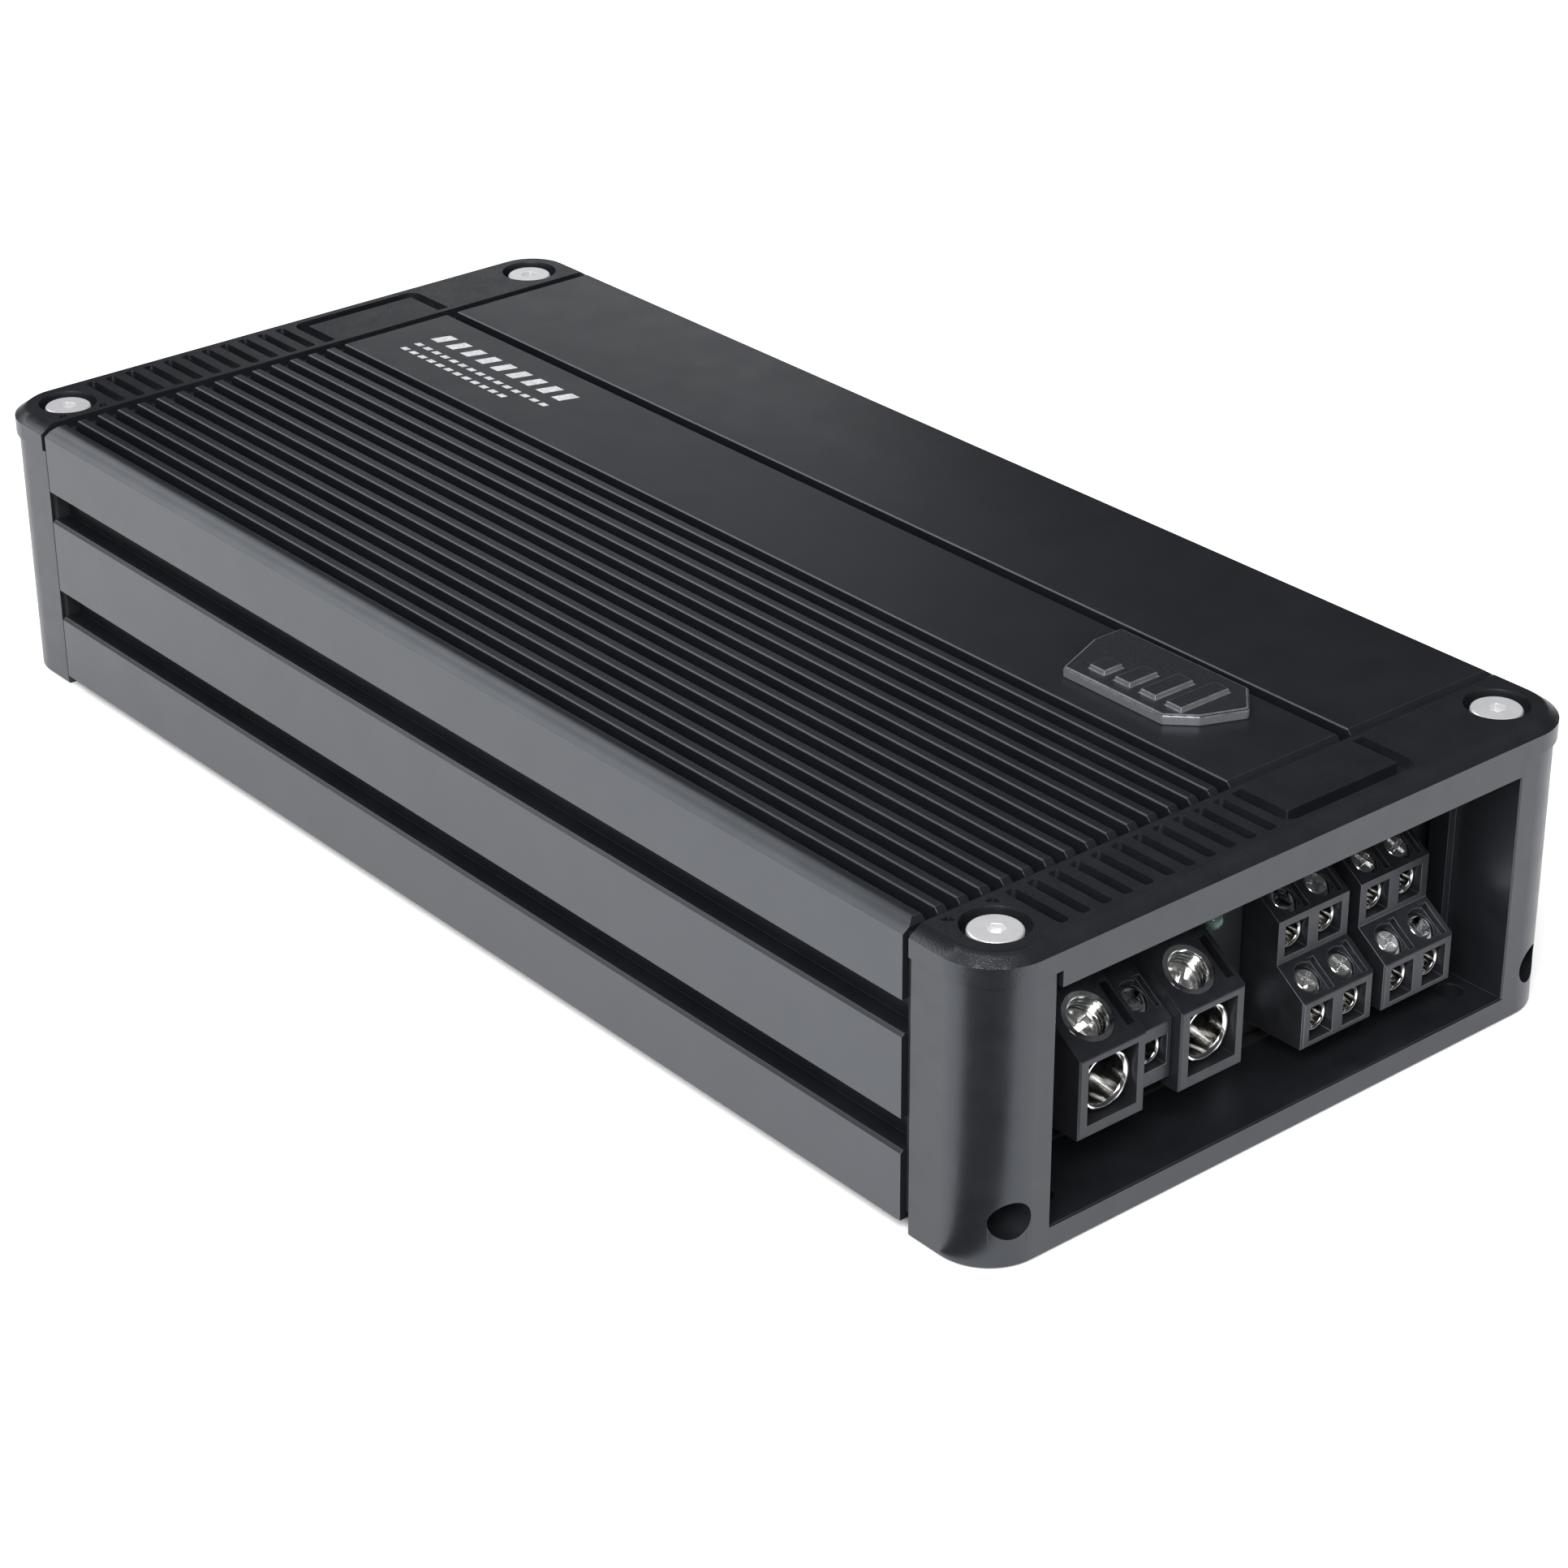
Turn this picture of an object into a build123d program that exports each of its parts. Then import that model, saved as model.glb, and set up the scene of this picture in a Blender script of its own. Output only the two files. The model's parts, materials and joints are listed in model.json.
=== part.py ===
"""Four-channel car amplifier: a finned aluminium extrusion with a cap at each end.

Frame: millimetres, +Z up, +X towards the terminal end, origin at the centre of the
footprint on the surface that the end caps stand on. -Y is the finned side.
"""
import math
import os
from collections import namedtuple

from build123d import *

# ---------------------------------------------------------------- driving dimensions
LENGTH = 260.0
WIDTH = 120.0
HEIGHT = 50.0

CAP_DEPTH = 16.0
SEAM_GAP = 1.2
CAP_BACK = LENGTH / 2 - CAP_DEPTH
BODY_END = CAP_BACK - SEAM_GAP
BODY_UNDERSIDE = 2.2

# extrusion section
EDGE_CHAMFER_RUN = 2.3
EDGE_CHAMFER_DROP = 1.6
SIDE_GROOVES = ((13.8, 19.1), (32.7, 38.1))
SIDE_GROOVE_DEPTH = 3.5
BAND_CHAMFER = 0.5
CAVITY_HALF = 50.0
CAVITY_CEILING = 41.0
CEILING_GUSSET = 5.0
PANEL_GROOVE_Y = 26.4
FIRST_FIN_GROOVE_Y = 1.2
FIN_PITCH = 4.0
FIN_GROOVES = 15
GROOVE_WIDTH = 2.3
GROOVE_DEPTH = 4.0
GROOVE_LIP = 0.2
END_BEVEL = 0.8

# bottom plate and circuit board
PLATE_THICKNESS = 2.0
PLATE_HALF = 55.8
PLATE_GAP = 0.2
PLATE_TOP = BODY_UNDERSIDE + PLATE_THICKNESS
LEDGE_EDGE = 44.5
BOARD_BOTTOM = 6.0
BOARD_THICKNESS = 1.6
BOARD_TOP = BOARD_BOTTOM + BOARD_THICKNESS
BOARD_HALF_LENGTH = 109.8
BOARD_HALF_WIDTH = 49.6
BOARD_SCREW_Y = 47.2
BOARD_SCREW_X = (-95.0, 0.0, 95.0)
PLATE_SCREW_X = (-85.0, 0.0, 85.0)
PLATE_SCREW_Y = 53.0

# end caps
FRAME_SET_BACK = 0.5
FRAME_TOP = 45.2
COVER_BOTTOM = 45.4
CORNER_RADIUS = 9.5
OPENING_HALF = 47.0
OPENING_FLOOR = 4.3
OPENING_LIP_BOTTOM = 42.8
LIP_THICKNESS = 2.4
LIP_SIDE_GAP = 0.5
STEP_HALF = 45.6
STEP_FRONT = 117.7
COVER_SCREW_X = 120.8
COVER_SCREW_Y = 50.5
COUNTERBORE_RADIUS = 5.1
COUNTERBORE_FLOOR = 47.6
COVER_SLOTS = 11
SLOT_X = (115.1, 126.3)
SLOT_WIDTH = 1.9
SLOT_CORNER = 0.6
CHANNEL_DEPTH = 2.0
CHANNEL_CORNER = 2.4
FRAME_SCREW_Y = 53.7
FRAME_SCREW_Z = 7.7
FRAME_SCREW_SEAT = 120.0
SPIGOT_Y = 52.0
SPIGOT_Z = 41.2
SPIGOT_LENGTH = 6.0
MOUNT_HOLE_X = 122.8
MOUNT_HOLE_Y = 42.8
MOUNT_HOLE_RADIUS = 2.1

# end panels
PANEL_FRONT = 111.8
PANEL_THICKNESS = 1.2
PANEL_BACK = PANEL_FRONT - PANEL_THICKNESS
PANEL_CLEARANCE = 0.3
BRACKET_Y = {"terminal": 3.6, "input": -6.0}
BRACKET_HOLE_Z = 11.6
BRACKET_HALF = 3.0
BRACKET_REACH = 8.0
BRACKET_TOP = 15.0
BRACKET_THICKNESS = 1.2

# status lamp, a 3 mm lamp on the terminal panel
LAMP_Y = -1.5
LAMP_Z = 29.6
LAMP_RADIUS = 1.5
LAMP_TIP = 116.0
LAMP_FLANGE = 0.4
LEAD_SPACING = 2.54
LEAD_HALF = 0.25

# badge on the top panel
BADGE_X = (68.2, 100.4)
BADGE_Y = (7.7, 24.0)
BADGE_THICKNESS = 1.7
BADGE_RELIEF = 0.7

Screw = namedtuple("Screw", "head_radius head_height shank_radius length socket_across")
COVER_SCREW = Screw(4.0, 1.8, 2.0, 10.0, 2.5)
FRAME_SCREW = Screw(2.75, 3.0, 1.5, 16.0, 2.5)
SMALL_SCREW = Screw(2.5, 1.8, 1.25, 5.0, 1.8)

# wire terminals: the outline of each housing face, as seen from the side
Face = namedtuple("Face", "x low high run rise barrel_back")
POWER_FACE = Face(x=124.6, low=11.5, high=24.5, run=9.6, rise=6.44, barrel_back=105.0)
REMOTE_FACE = Face(x=122.8, low=13.5, high=23.2, run=8.8, rise=5.9, barrel_back=105.0)
SPEAKER_LOWER = Face(x=124.6, low=8.3, high=16.1, run=5.8, rise=3.9, barrel_back=107.0)
SPEAKER_UPPER = Face(x=118.8, low=20.2, high=27.4, run=5.8, rise=3.9, barrel_back=104.2)
HOUSING_BACK = 103.0
HOUSING_CHAMFER = 0.3
WALL_GAP = 0.1
THREAD_GAP = 0.05

# wire terminals: one pole, its window, barrel, clamp screw and the relief slot beside it
PoleKind = namedtuple(
    "PoleKind", "window_width window_height above_floor recess barrel_radius bore_radius "
    "lead_in boss_radius boss_depth screw_radius screw_length screw_depth screw_shift "
    "slot_offset slot_width slot_length slot_depth")
POWER_POLE = PoleKind(
    window_width=9.6, window_height=10.0, above_floor=2.0, recess=1.4, barrel_radius=4.5,
    bore_radius=3.8, lead_in=0.4, boss_radius=4.1, boss_depth=0.1, screw_radius=3.2,
    screw_length=3.7, screw_depth=3.2, screw_shift=-0.6, slot_offset=5.5, slot_width=1.5,
    slot_length=7.3, slot_depth=2.0)
SPEAKER_POLE = PoleKind(
    window_width=4.9, window_height=5.8, above_floor=1.0, recess=1.4, barrel_radius=2.35,
    bore_radius=1.9, lead_in=0.25, boss_radius=2.5, boss_depth=1.6, screw_radius=1.95,
    screw_length=3.8, screw_depth=0.7, screw_shift=0.0, slot_offset=2.3, slot_width=1.4,
    slot_length=5.5, slot_depth=1.2)
UPPER_POLE = SPEAKER_POLE._replace(above_floor=0.9, window_height=5.2)
REMOTE_POLE = SPEAKER_POLE._replace(above_floor=2.6, window_height=5.0, screw_length=5.6)
BARREL_END = 2.0
PIN_HALF = 0.5
PIN_HOLE_HALF = 0.8
PIN_BOTTOM = BOARD_BOTTOM - 1.0
SCREW_TOP_CHAMFER = 0.2
SCREW_TIP_CHAMFER = 0.5
RECESS_REACH = 0.82
RECESS_DEPTH = 1.3
FOOT_INSET = 1.4
FOOT_HALF = 0.6

Pole = namedtuple("Pole", "name face kind y")
POWER_POLES = {
    "battery": Pole("battery", POWER_FACE, POWER_POLE, -30.9),
    "remote": Pole("remote", REMOTE_FACE, REMOTE_POLE, -21.0),
    "ground": Pole("ground", POWER_FACE, POWER_POLE, -11.1),
}
HOUSING_WIDTHS = {"battery": 12.8, "remote": 6.8, "ground": 12.8}
SPEAKER_WIDTH = 14.9
SPEAKER_BLOCKS = {"a": 15.4, "b": 32.8}
SPEAKER_PITCH = 7.1
SCREW_TURN = {"battery": 12, "ground": 40, "remote": 30, "a_lower_1": 38, "a_upper_1": 10,
              "a_upper_2": 60, "b_lower_2": 44, "b_upper_1": 25}
USUAL_TURN = 20

# input end
JACK_ROWS = (13.6, 27.6)
JACK_COLUMNS = (-33.0, -19.0)
JACK_FACE = 117.5
TRIMMER_Y = (4.0, 15.0, 26.0, 37.0)
TRIMMER_Z = 26.0
TRIMMER_FACE = 109.6
TRIMMER_TIP = 115.2
TRIMMER_RADIUS = 3.0
TRIMMER_TEETH = 18
SPINDLE_RADIUS = 1.5
SELECTOR_Y = (9.5, 31.5)
SELECTOR_Z = 12.5
SELECTOR_TIP = 114.4

# electronics
CLAMP_Z = 25.0
CLAMP_SCREW_X = (-62.0, -22.0, 22.0, 62.0)
TRANSISTOR_X = (-72.0, -52.0, -32.0, -12.0, 12.0, 32.0, 52.0, 72.0)
TRANSISTOR_HALF = 5.0
LEG_PITCH = 2.54
CAPACITOR_X = (-30.0, -8.0)
CAPACITOR_Y = (-24.0, 0.0, 24.0)
CAPACITOR_RADIUS = 9.0
CAPACITOR_TOP = 36.0
INDUCTOR_X = (30.0, 62.0)
INDUCTOR_Y = (-20.0, 20.0)
TRANSFORMER_X = -68.0


# ---------------------------------------------------------------- helpers
def block(x, y, z):
    """Box between the low and high limits given for each axis."""
    middle = [(pair[0] + pair[1]) / 2 for pair in (x, y, z)]
    size = [pair[1] - pair[0] for pair in (x, y, z)]
    return Pos(*middle) * Box(*size)


def upright(x, y, low, high, radius):
    """Vertical cylinder between two heights."""
    return Pos(x, y, (low + high) / 2) * Cylinder(radius, high - low)


def lengthwise(x_low, x_high, y, z, radius):
    """Cylinder along X between two stations."""
    return Pos((x_low + x_high) / 2, y, z) * Rot(0, 90, 0) * Cylinder(radius, x_high - x_low)


def crosswise(x, y_low, y_high, z, radius):
    """Cylinder along Y between two stations."""
    return Pos(x, (y_low + y_high) / 2, z) * Rot(90, 0, 0) * Cylinder(radius, y_high - y_low)


def prism_x(outline, x_low, x_high):
    """Closed (y, z) outline carried along X."""
    face = make_face(Plane.YZ * Polyline(*outline, close=True))
    return Pos(x_low, 0, 0) * extrude(face, amount=x_high - x_low, dir=(1, 0, 0))


def prism_y(outline, y_low, y_high):
    """Closed (x, z) outline carried along Y."""
    face = make_face(Plane.XZ * Polyline(*outline, close=True))
    return Pos(0, y_low, 0) * extrude(face, amount=y_high - y_low, dir=(0, 1, 0))


def group(items):
    """Separate solids that share one sub-part."""
    return Compound([solid for item in items for solid in item.solids()])


def mirrored(shape):
    """The same piece for the other end."""
    return mirror(shape, about=Plane.YZ)


def both_ends(shape):
    """The piece and its twin at the other end."""
    return [shape, mirrored(shape)]


def hex_prism(across, height):
    """Hexagonal tool socket, its mouth at z = 0, reaching down."""
    face = RegularPolygon(across / 2, 6, major_radius=False)
    return extrude(face, amount=height, dir=(0, 0, -1))


def headed_screw(spec, cross=False):
    """Screw pointing down: the head's underside is at z = 0, the shank below it."""
    head = upright(0, 0, 0, spec.head_height, spec.head_radius)
    head = chamfer(head.faces().sort_by(Axis.Z)[-1].edges(), 0.25)
    shank = upright(0, 0, -spec.length, 0, spec.shank_radius)
    shank = chamfer(shank.faces().sort_by(Axis.Z)[0].edges(), 0.4 * spec.shank_radius)
    screw = head + shank
    top = Pos(0, 0, spec.head_height)
    if cross:
        return screw - top * cross_recess(spec.head_radius * 0.55, 1.1)
    return screw - top * hex_prism(spec.socket_across, spec.head_height * 0.8)


def cross_recess(reach, depth):
    """Cross-shaped driver recess, its mouth at z = 0, tapering as it goes down."""
    bar_width = reach * 0.46
    bar = Rectangle(2 * reach, bar_width)
    face = bar + Rot(0, 0, 90) * bar
    return extrude(face, amount=depth, dir=(0, 0, -1), taper=8)


# ---------------------------------------------------------------- extrusion
def groove_points(centre):
    """One fin groove in the top outline, walked towards -Y, with softened lips."""
    left = centre + GROOVE_WIDTH / 2
    right = centre - GROOVE_WIDTH / 2
    floor = HEIGHT - GROOVE_DEPTH
    return [(left + GROOVE_LIP, HEIGHT), (left, HEIGHT - GROOVE_LIP), (left, floor),
            (right, floor), (right, HEIGHT - GROOVE_LIP), (right - GROOVE_LIP, HEIGHT)]


def fin_groove_centres():
    """Centres of the fin grooves, from the text panel outwards."""
    return [FIRST_FIN_GROOVE_Y - FIN_PITCH * index for index in range(FIN_GROOVES)]


def side_points():
    """Outside of the +Y wall from its foot to the top chamfer."""
    half = WIDTH / 2
    inner = half - SIDE_GROOVE_DEPTH
    points = [(half, BODY_UNDERSIDE)]
    for low, high in SIDE_GROOVES:
        points += [(half, low - BAND_CHAMFER), (half - BAND_CHAMFER, low), (inner, low),
                   (inner, high), (half, high)]
    points += [(half, HEIGHT - EDGE_CHAMFER_DROP), (half - EDGE_CHAMFER_RUN, HEIGHT)]
    return points


def inside_points():
    """Inside of the +Y wall, from the ceiling down to the bottom plate's rebate."""
    rebate = PLATE_HALF + PLATE_GAP
    return [(CAVITY_HALF - CEILING_GUSSET, CAVITY_CEILING),
            (CAVITY_HALF, CAVITY_CEILING - CEILING_GUSSET),
            (CAVITY_HALF, BOARD_BOTTOM - 0.05), (LEDGE_EDGE, BOARD_BOTTOM - 0.05),
            (LEDGE_EDGE, PLATE_TOP + 0.05), (rebate, PLATE_TOP + 0.05),
            (rebate, BODY_UNDERSIDE)]


def heatsink_extrusion():
    """Finned top and banded sides in one section, open underneath and at the ends."""
    right = side_points()
    left = [(-y, z) for y, z in reversed(right)]
    top = []
    for centre in [PANEL_GROOVE_Y] + fin_groove_centres():
        top += groove_points(centre)
    right_inside = inside_points()
    left_inside = [(-y, z) for y, z in reversed(right_inside)]
    body = prism_x(right + top + left + left_inside + right_inside, -BODY_END, BODY_END)
    half = WIDTH / 2 + 1
    for end in (-1, 1):
        bevel = [(end * (BODY_END - END_BEVEL), HEIGHT), (end * BODY_END, HEIGHT - END_BEVEL),
                 (end * (BODY_END + 1), HEIGHT - END_BEVEL), (end * (BODY_END + 1), HEIGHT + 1),
                 (end * (BODY_END - END_BEVEL), HEIGHT + 1)]
        body -= prism_y(bevel, -half, half)
    for side in (-1, 1):
        hole = lengthwise(BODY_END - 14, BODY_END + 1, side * FRAME_SCREW_Y, FRAME_SCREW_Z,
                          FRAME_SCREW.shank_radius + THREAD_GAP)
        spigot_hole = lengthwise(BODY_END - SPIGOT_LENGTH - 1, BODY_END + 1, side * SPIGOT_Y,
                                 SPIGOT_Z, 2.05)
        for tool in both_ends(hole) + both_ends(spigot_hole):
            body -= tool
        for x in PLATE_SCREW_X:
            body -= upright(x, side * PLATE_SCREW_Y, PLATE_TOP, PLATE_TOP + 6.5, 1.55)
        for x in BOARD_SCREW_X:
            body -= upright(x, side * BOARD_SCREW_Y, PLATE_TOP, BOARD_BOTTOM, 1.3)
        for x in CLAMP_SCREW_X:
            wall = sorted((side * (CAVITY_HALF - 1), side * (CAVITY_HALF + 7)))
            body -= crosswise(x, wall[0], wall[1], CLAMP_Z, 1.55)
    return body


def bottom_plate():
    """Flat sheet that closes the extrusion from below, countersunk for its screws."""
    plate = block((-BODY_END, BODY_END), (-PLATE_HALF, PLATE_HALF), (BODY_UNDERSIDE, PLATE_TOP))
    for x in PLATE_SCREW_X:
        for side in (-1, 1):
            sink = Pos(x, side * PLATE_SCREW_Y, BODY_UNDERSIDE + 0.75) * Cone(3.25, 1.65, 1.5)
            plate -= sink + upright(x, side * PLATE_SCREW_Y, 0, PLATE_TOP + 1, 1.65)
    return plate


def bottom_plate_screws():
    """Countersunk screws that hold the plate, driven from below."""
    screws = []
    for x in PLATE_SCREW_X:
        for side in (-1, 1):
            head = Pos(x, side * PLATE_SCREW_Y, BODY_UNDERSIDE + 0.8) * Cone(3.0, 1.5, 1.4)
            shank = upright(x, side * PLATE_SCREW_Y, BODY_UNDERSIDE + 1.5, PLATE_TOP + 5, 1.5)
            recess = Pos(x, side * PLATE_SCREW_Y, BODY_UNDERSIDE + 0.1) * Rot(180, 0, 0)
            screws.append(head + shank - recess * cross_recess(1.6, 1.0))
    return group(screws)


# ---------------------------------------------------------------- end caps
def cap_plan(back, front, half_width, radius):
    """Plan of a cap: square at the seam, rounded at the two outer corners."""
    plan = Pos((back + front) / 2, 0) * Rectangle(front - back, 2 * half_width)
    return fillet(plan.vertices().sort_by(Axis.X)[-2:], radius)


def cap_frame():
    """Lower half of a cap: two posts joined by a bottom bar, with a stepped opening."""
    front = LENGTH / 2 - FRAME_SET_BACK
    plan = cap_plan(CAP_BACK, front, WIDTH / 2 - FRAME_SET_BACK, CORNER_RADIUS - FRAME_SET_BACK)
    frame = extrude(plan, amount=FRAME_TOP)
    frame = chamfer(frame.faces().sort_by(Axis.Z)[0].edges().filter_by(
        lambda edge: edge.center().X > CAP_BACK + 1), 0.4)
    frame -= block((STEP_FRONT, front + 1), (-OPENING_HALF, OPENING_HALF),
                   (OPENING_FLOOR, HEIGHT))
    frame -= block((CAP_BACK - 1, front + 1), (-STEP_HALF, STEP_HALF), (OPENING_FLOOR, HEIGHT))
    mouth = frame.faces().filter_by(Axis.X).sort_by(Axis.X)[-1]
    rim = mouth.edges().filter_by(lambda edge: abs(edge.center().Y) < OPENING_HALF + 0.1
                                  and OPENING_FLOOR - 0.1 < edge.center().Z < FRAME_TOP - 0.1)
    frame = chamfer(rim, 0.25)
    for side in (-1, 1):
        y = side * FRAME_SCREW_Y
        frame -= lengthwise(FRAME_SCREW_SEAT, front + 1, y, FRAME_SCREW_Z, 3.0)
        frame -= lengthwise(CAP_BACK - 1, FRAME_SCREW_SEAT + 1, y, FRAME_SCREW_Z, 1.7)
        frame -= upright(COVER_SCREW_X, side * COVER_SCREW_Y, FRAME_TOP - 10, FRAME_TOP + 1,
                         COVER_SCREW.shank_radius + THREAD_GAP)
        frame -= upright(MOUNT_HOLE_X, side * MOUNT_HOLE_Y, -1, OPENING_FLOOR + 1,
                         MOUNT_HOLE_RADIUS)
        frame += lengthwise(CAP_BACK - SEAM_GAP - SPIGOT_LENGTH, CAP_BACK + 0.5,
                            side * SPIGOT_Y, SPIGOT_Z, 1.9)
    return frame


def cover_channel():
    """Shallow channel that carries the groove round the end of the text panel."""
    outer_low = FIRST_FIN_GROOVE_Y - GROOVE_WIDTH / 2
    outer_high = PANEL_GROOVE_Y + GROOVE_WIDTH / 2
    mid_y = (outer_low + outer_high) / 2
    span = outer_high - outer_low
    reach = 2 * (SLOT_X[1] - SLOT_X[0])
    outer = Pos(SLOT_X[0], mid_y) * RectangleRounded(reach, span, CHANNEL_CORNER)
    inner = Pos(SLOT_X[0], mid_y) * RectangleRounded(
        reach - 2 * GROOVE_WIDTH, span - 2 * GROOVE_WIDTH, 0.3)
    ring = Pos(0, 0, HEIGHT - CHANNEL_DEPTH) * extrude(outer - inner, amount=CHANNEL_DEPTH + 1)
    return ring & block((SLOT_X[0], SLOT_X[1] + 1), (outer_low - 1, outer_high + 1),
                        (0, HEIGHT + 2))


def slot_remnant(centre, reach):
    """Small three-cornered slot, left where a screw boss cuts a full slot short."""
    points = [(SLOT_X[0], centre - SLOT_WIDTH / 2), (SLOT_X[0], centre + SLOT_WIDTH / 2),
              (SLOT_X[0] + reach, centre + SLOT_WIDTH / 2 * (1 if reach > 0 else -1))]
    face = make_face(Polyline(*points, close=True))
    face = fillet(face.vertices(), 0.25)
    return Pos(0, 0, COVER_BOTTOM - 1) * extrude(face, amount=HEIGHT - COVER_BOTTOM + 2)


def cap_cover():
    """Top half of a cap: a slotted plate with a chamfered rim and a front lip."""
    front = LENGTH / 2
    plan = cap_plan(CAP_BACK, front, WIDTH / 2, CORNER_RADIUS)
    cover = Pos(0, 0, COVER_BOTTOM) * extrude(plan, amount=HEIGHT - COVER_BOTTOM)
    top = cover.faces().sort_by(Axis.Z)[-1]
    rim = top.edges().filter_by(lambda edge: edge.center().X > CAP_BACK + 1)
    cover = chamfer(rim, EDGE_CHAMFER_RUN, EDGE_CHAMFER_DROP, reference=top)
    lip_half = OPENING_HALF - LIP_SIDE_GAP
    cover += block((front - LIP_THICKNESS, front), (-lip_half, lip_half),
                   (OPENING_LIP_BOTTOM, COVER_BOTTOM))
    for centre in fin_groove_centres()[1:COVER_SLOTS + 1]:
        slot = RectangleRounded(SLOT_X[1] - SLOT_X[0], SLOT_WIDTH, SLOT_CORNER)
        cover -= Pos((SLOT_X[0] + SLOT_X[1]) / 2, centre, COVER_BOTTOM - 1) * extrude(
            slot, amount=HEIGHT - COVER_BOTTOM + 2)
    cover -= slot_remnant(fin_groove_centres()[COVER_SLOTS + 1], 2.0)
    cover -= slot_remnant(fin_groove_centres()[COVER_SLOTS + 3], 1.8)
    cover -= cover_channel()
    for side in (-1, 1):
        y = side * COVER_SCREW_Y
        cover -= upright(COVER_SCREW_X, y, COUNTERBORE_FLOOR, HEIGHT + 1, COUNTERBORE_RADIUS)
        cover -= upright(COVER_SCREW_X, y, COVER_BOTTOM - 1, HEIGHT, 2.2)
    return cover


def cover_screws():
    """Flat-topped socket screws that hold the two covers down."""
    screws = []
    for x in (-COVER_SCREW_X, COVER_SCREW_X):
        for side in (-1, 1):
            place = Pos(x, side * COVER_SCREW_Y, COUNTERBORE_FLOOR) * Rot(0, 0, 17 * side)
            screws.append(place * headed_screw(COVER_SCREW))
    return group(screws)


def frame_screws():
    """Socket screws deep in the corner holes, holding the frames to the extrusion."""
    screws = []
    for side in (-1, 1):
        place = Pos(FRAME_SCREW_SEAT, side * FRAME_SCREW_Y, FRAME_SCREW_Z) * Rot(0, 90, 0)
        screws += both_ends(place * headed_screw(FRAME_SCREW))
    return group(screws)


def gasket():
    """Rubber frame squeezed between a cap and the extrusion, set in from the outside."""
    inset = 1.2
    half = WIDTH / 2 - inset
    top = HEIGHT - inset - 0.5
    outer = block((BODY_END, CAP_BACK), (-half, half), (BODY_UNDERSIDE + inset, top))
    ring = outer - block((BODY_END - 1, CAP_BACK + 1), (-OPENING_HALF, OPENING_HALF),
                         (OPENING_FLOOR + 0.6, CAVITY_CEILING + 0.6))
    for side in (-1, 1):
        ring -= lengthwise(BODY_END - 1, CAP_BACK + 1, side * FRAME_SCREW_Y, FRAME_SCREW_Z, 1.7)
        ring -= lengthwise(BODY_END - 1, CAP_BACK + 1, side * SPIGOT_Y, SPIGOT_Z, 2.1)
    return ring


# ---------------------------------------------------------------- wire terminals
def tilt(face):
    """Lean of a clamp screw from upright: square to the sloping face."""
    return math.degrees(math.atan2(face.rise, face.run))


def pole_axis_z(pole):
    """Height of the wire's axis in a pole."""
    return pole.face.low + pole.kind.above_floor + pole.kind.window_height / 2


def screw_frame(pole):
    """Placement at the middle of the sloping face, +Z along the clamp screw."""
    middle_x = pole.face.x - pole.face.run / 2
    middle_z = pole.face.high + pole.face.rise / 2
    middle = Pos(middle_x, pole.y + pole.kind.screw_shift, middle_z)
    return middle * Rot(0, tilt(pole.face), 0)


def screw_reach(pole):
    """Distance along the clamp screw from the sloping face to the wire's axis."""
    drop = pole.face.high + pole.face.rise / 2 - pole_axis_z(pole)
    return drop / math.cos(math.radians(tilt(pole.face)))


def tilted(pole, low, high, radius):
    """Cylinder on the clamp screw's axis, between two depths below the sloping face."""
    return screw_frame(pole) * upright(0, 0, -high, -low, radius)


def pin(pole, half, low, high):
    """Square post at a pole's solder pin, between two heights."""
    x = pole.face.barrel_back + PIN_HOLE_HALF
    return block((x - half, x + half), (pole.y - half, pole.y + half), (low, high))


def pole_cavity(pole):
    """Everything a pole needs cut out of its housing."""
    kind = pole.kind
    axis_z = pole_axis_z(pole)
    back = pole.face.barrel_back - WALL_GAP
    half_wide = kind.window_width / 2
    half_high = kind.window_height / 2
    cavity = block((back, pole.face.x + 1), (pole.y - half_wide, pole.y + half_wide),
                   (axis_z - half_high, axis_z + half_high))
    cavity += tilted(pole, -3, screw_reach(pole), kind.boss_radius + WALL_GAP)
    slot_half = (kind.slot_length / 2, kind.slot_width / 2)
    slot = block((-slot_half[0], slot_half[0]),
                 (kind.slot_offset - slot_half[1], kind.slot_offset + slot_half[1]),
                 (-kind.slot_depth, 1))
    return cavity + screw_frame(pole) * slot + pin(pole, PIN_HOLE_HALF, 0, axis_z)


def pole_barrel(pole):
    """Metal barrel that takes the wire, with a threaded boss and a solder pin."""
    kind = pole.kind
    axis_z = pole_axis_z(pole)
    front = pole.face.x - kind.recess
    back = pole.face.barrel_back
    barrel = lengthwise(back, front, pole.y, axis_z, kind.barrel_radius)
    barrel += tilted(pole, kind.boss_depth, screw_reach(pole), kind.boss_radius)
    barrel -= lengthwise(back + BARREL_END, front + 4, pole.y, axis_z, kind.bore_radius)
    barrel -= tilted(pole, -1, screw_reach(pole), kind.screw_radius + THREAD_GAP)
    lead_in = Cone(kind.bore_radius, kind.bore_radius + kind.lead_in, kind.lead_in)
    barrel -= Pos(front - kind.lead_in / 2, pole.y, axis_z) * Rot(0, 90, 0) * lead_in
    return barrel + pin(pole, PIN_HALF, PIN_BOTTOM, axis_z - kind.bore_radius - 0.1)


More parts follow.
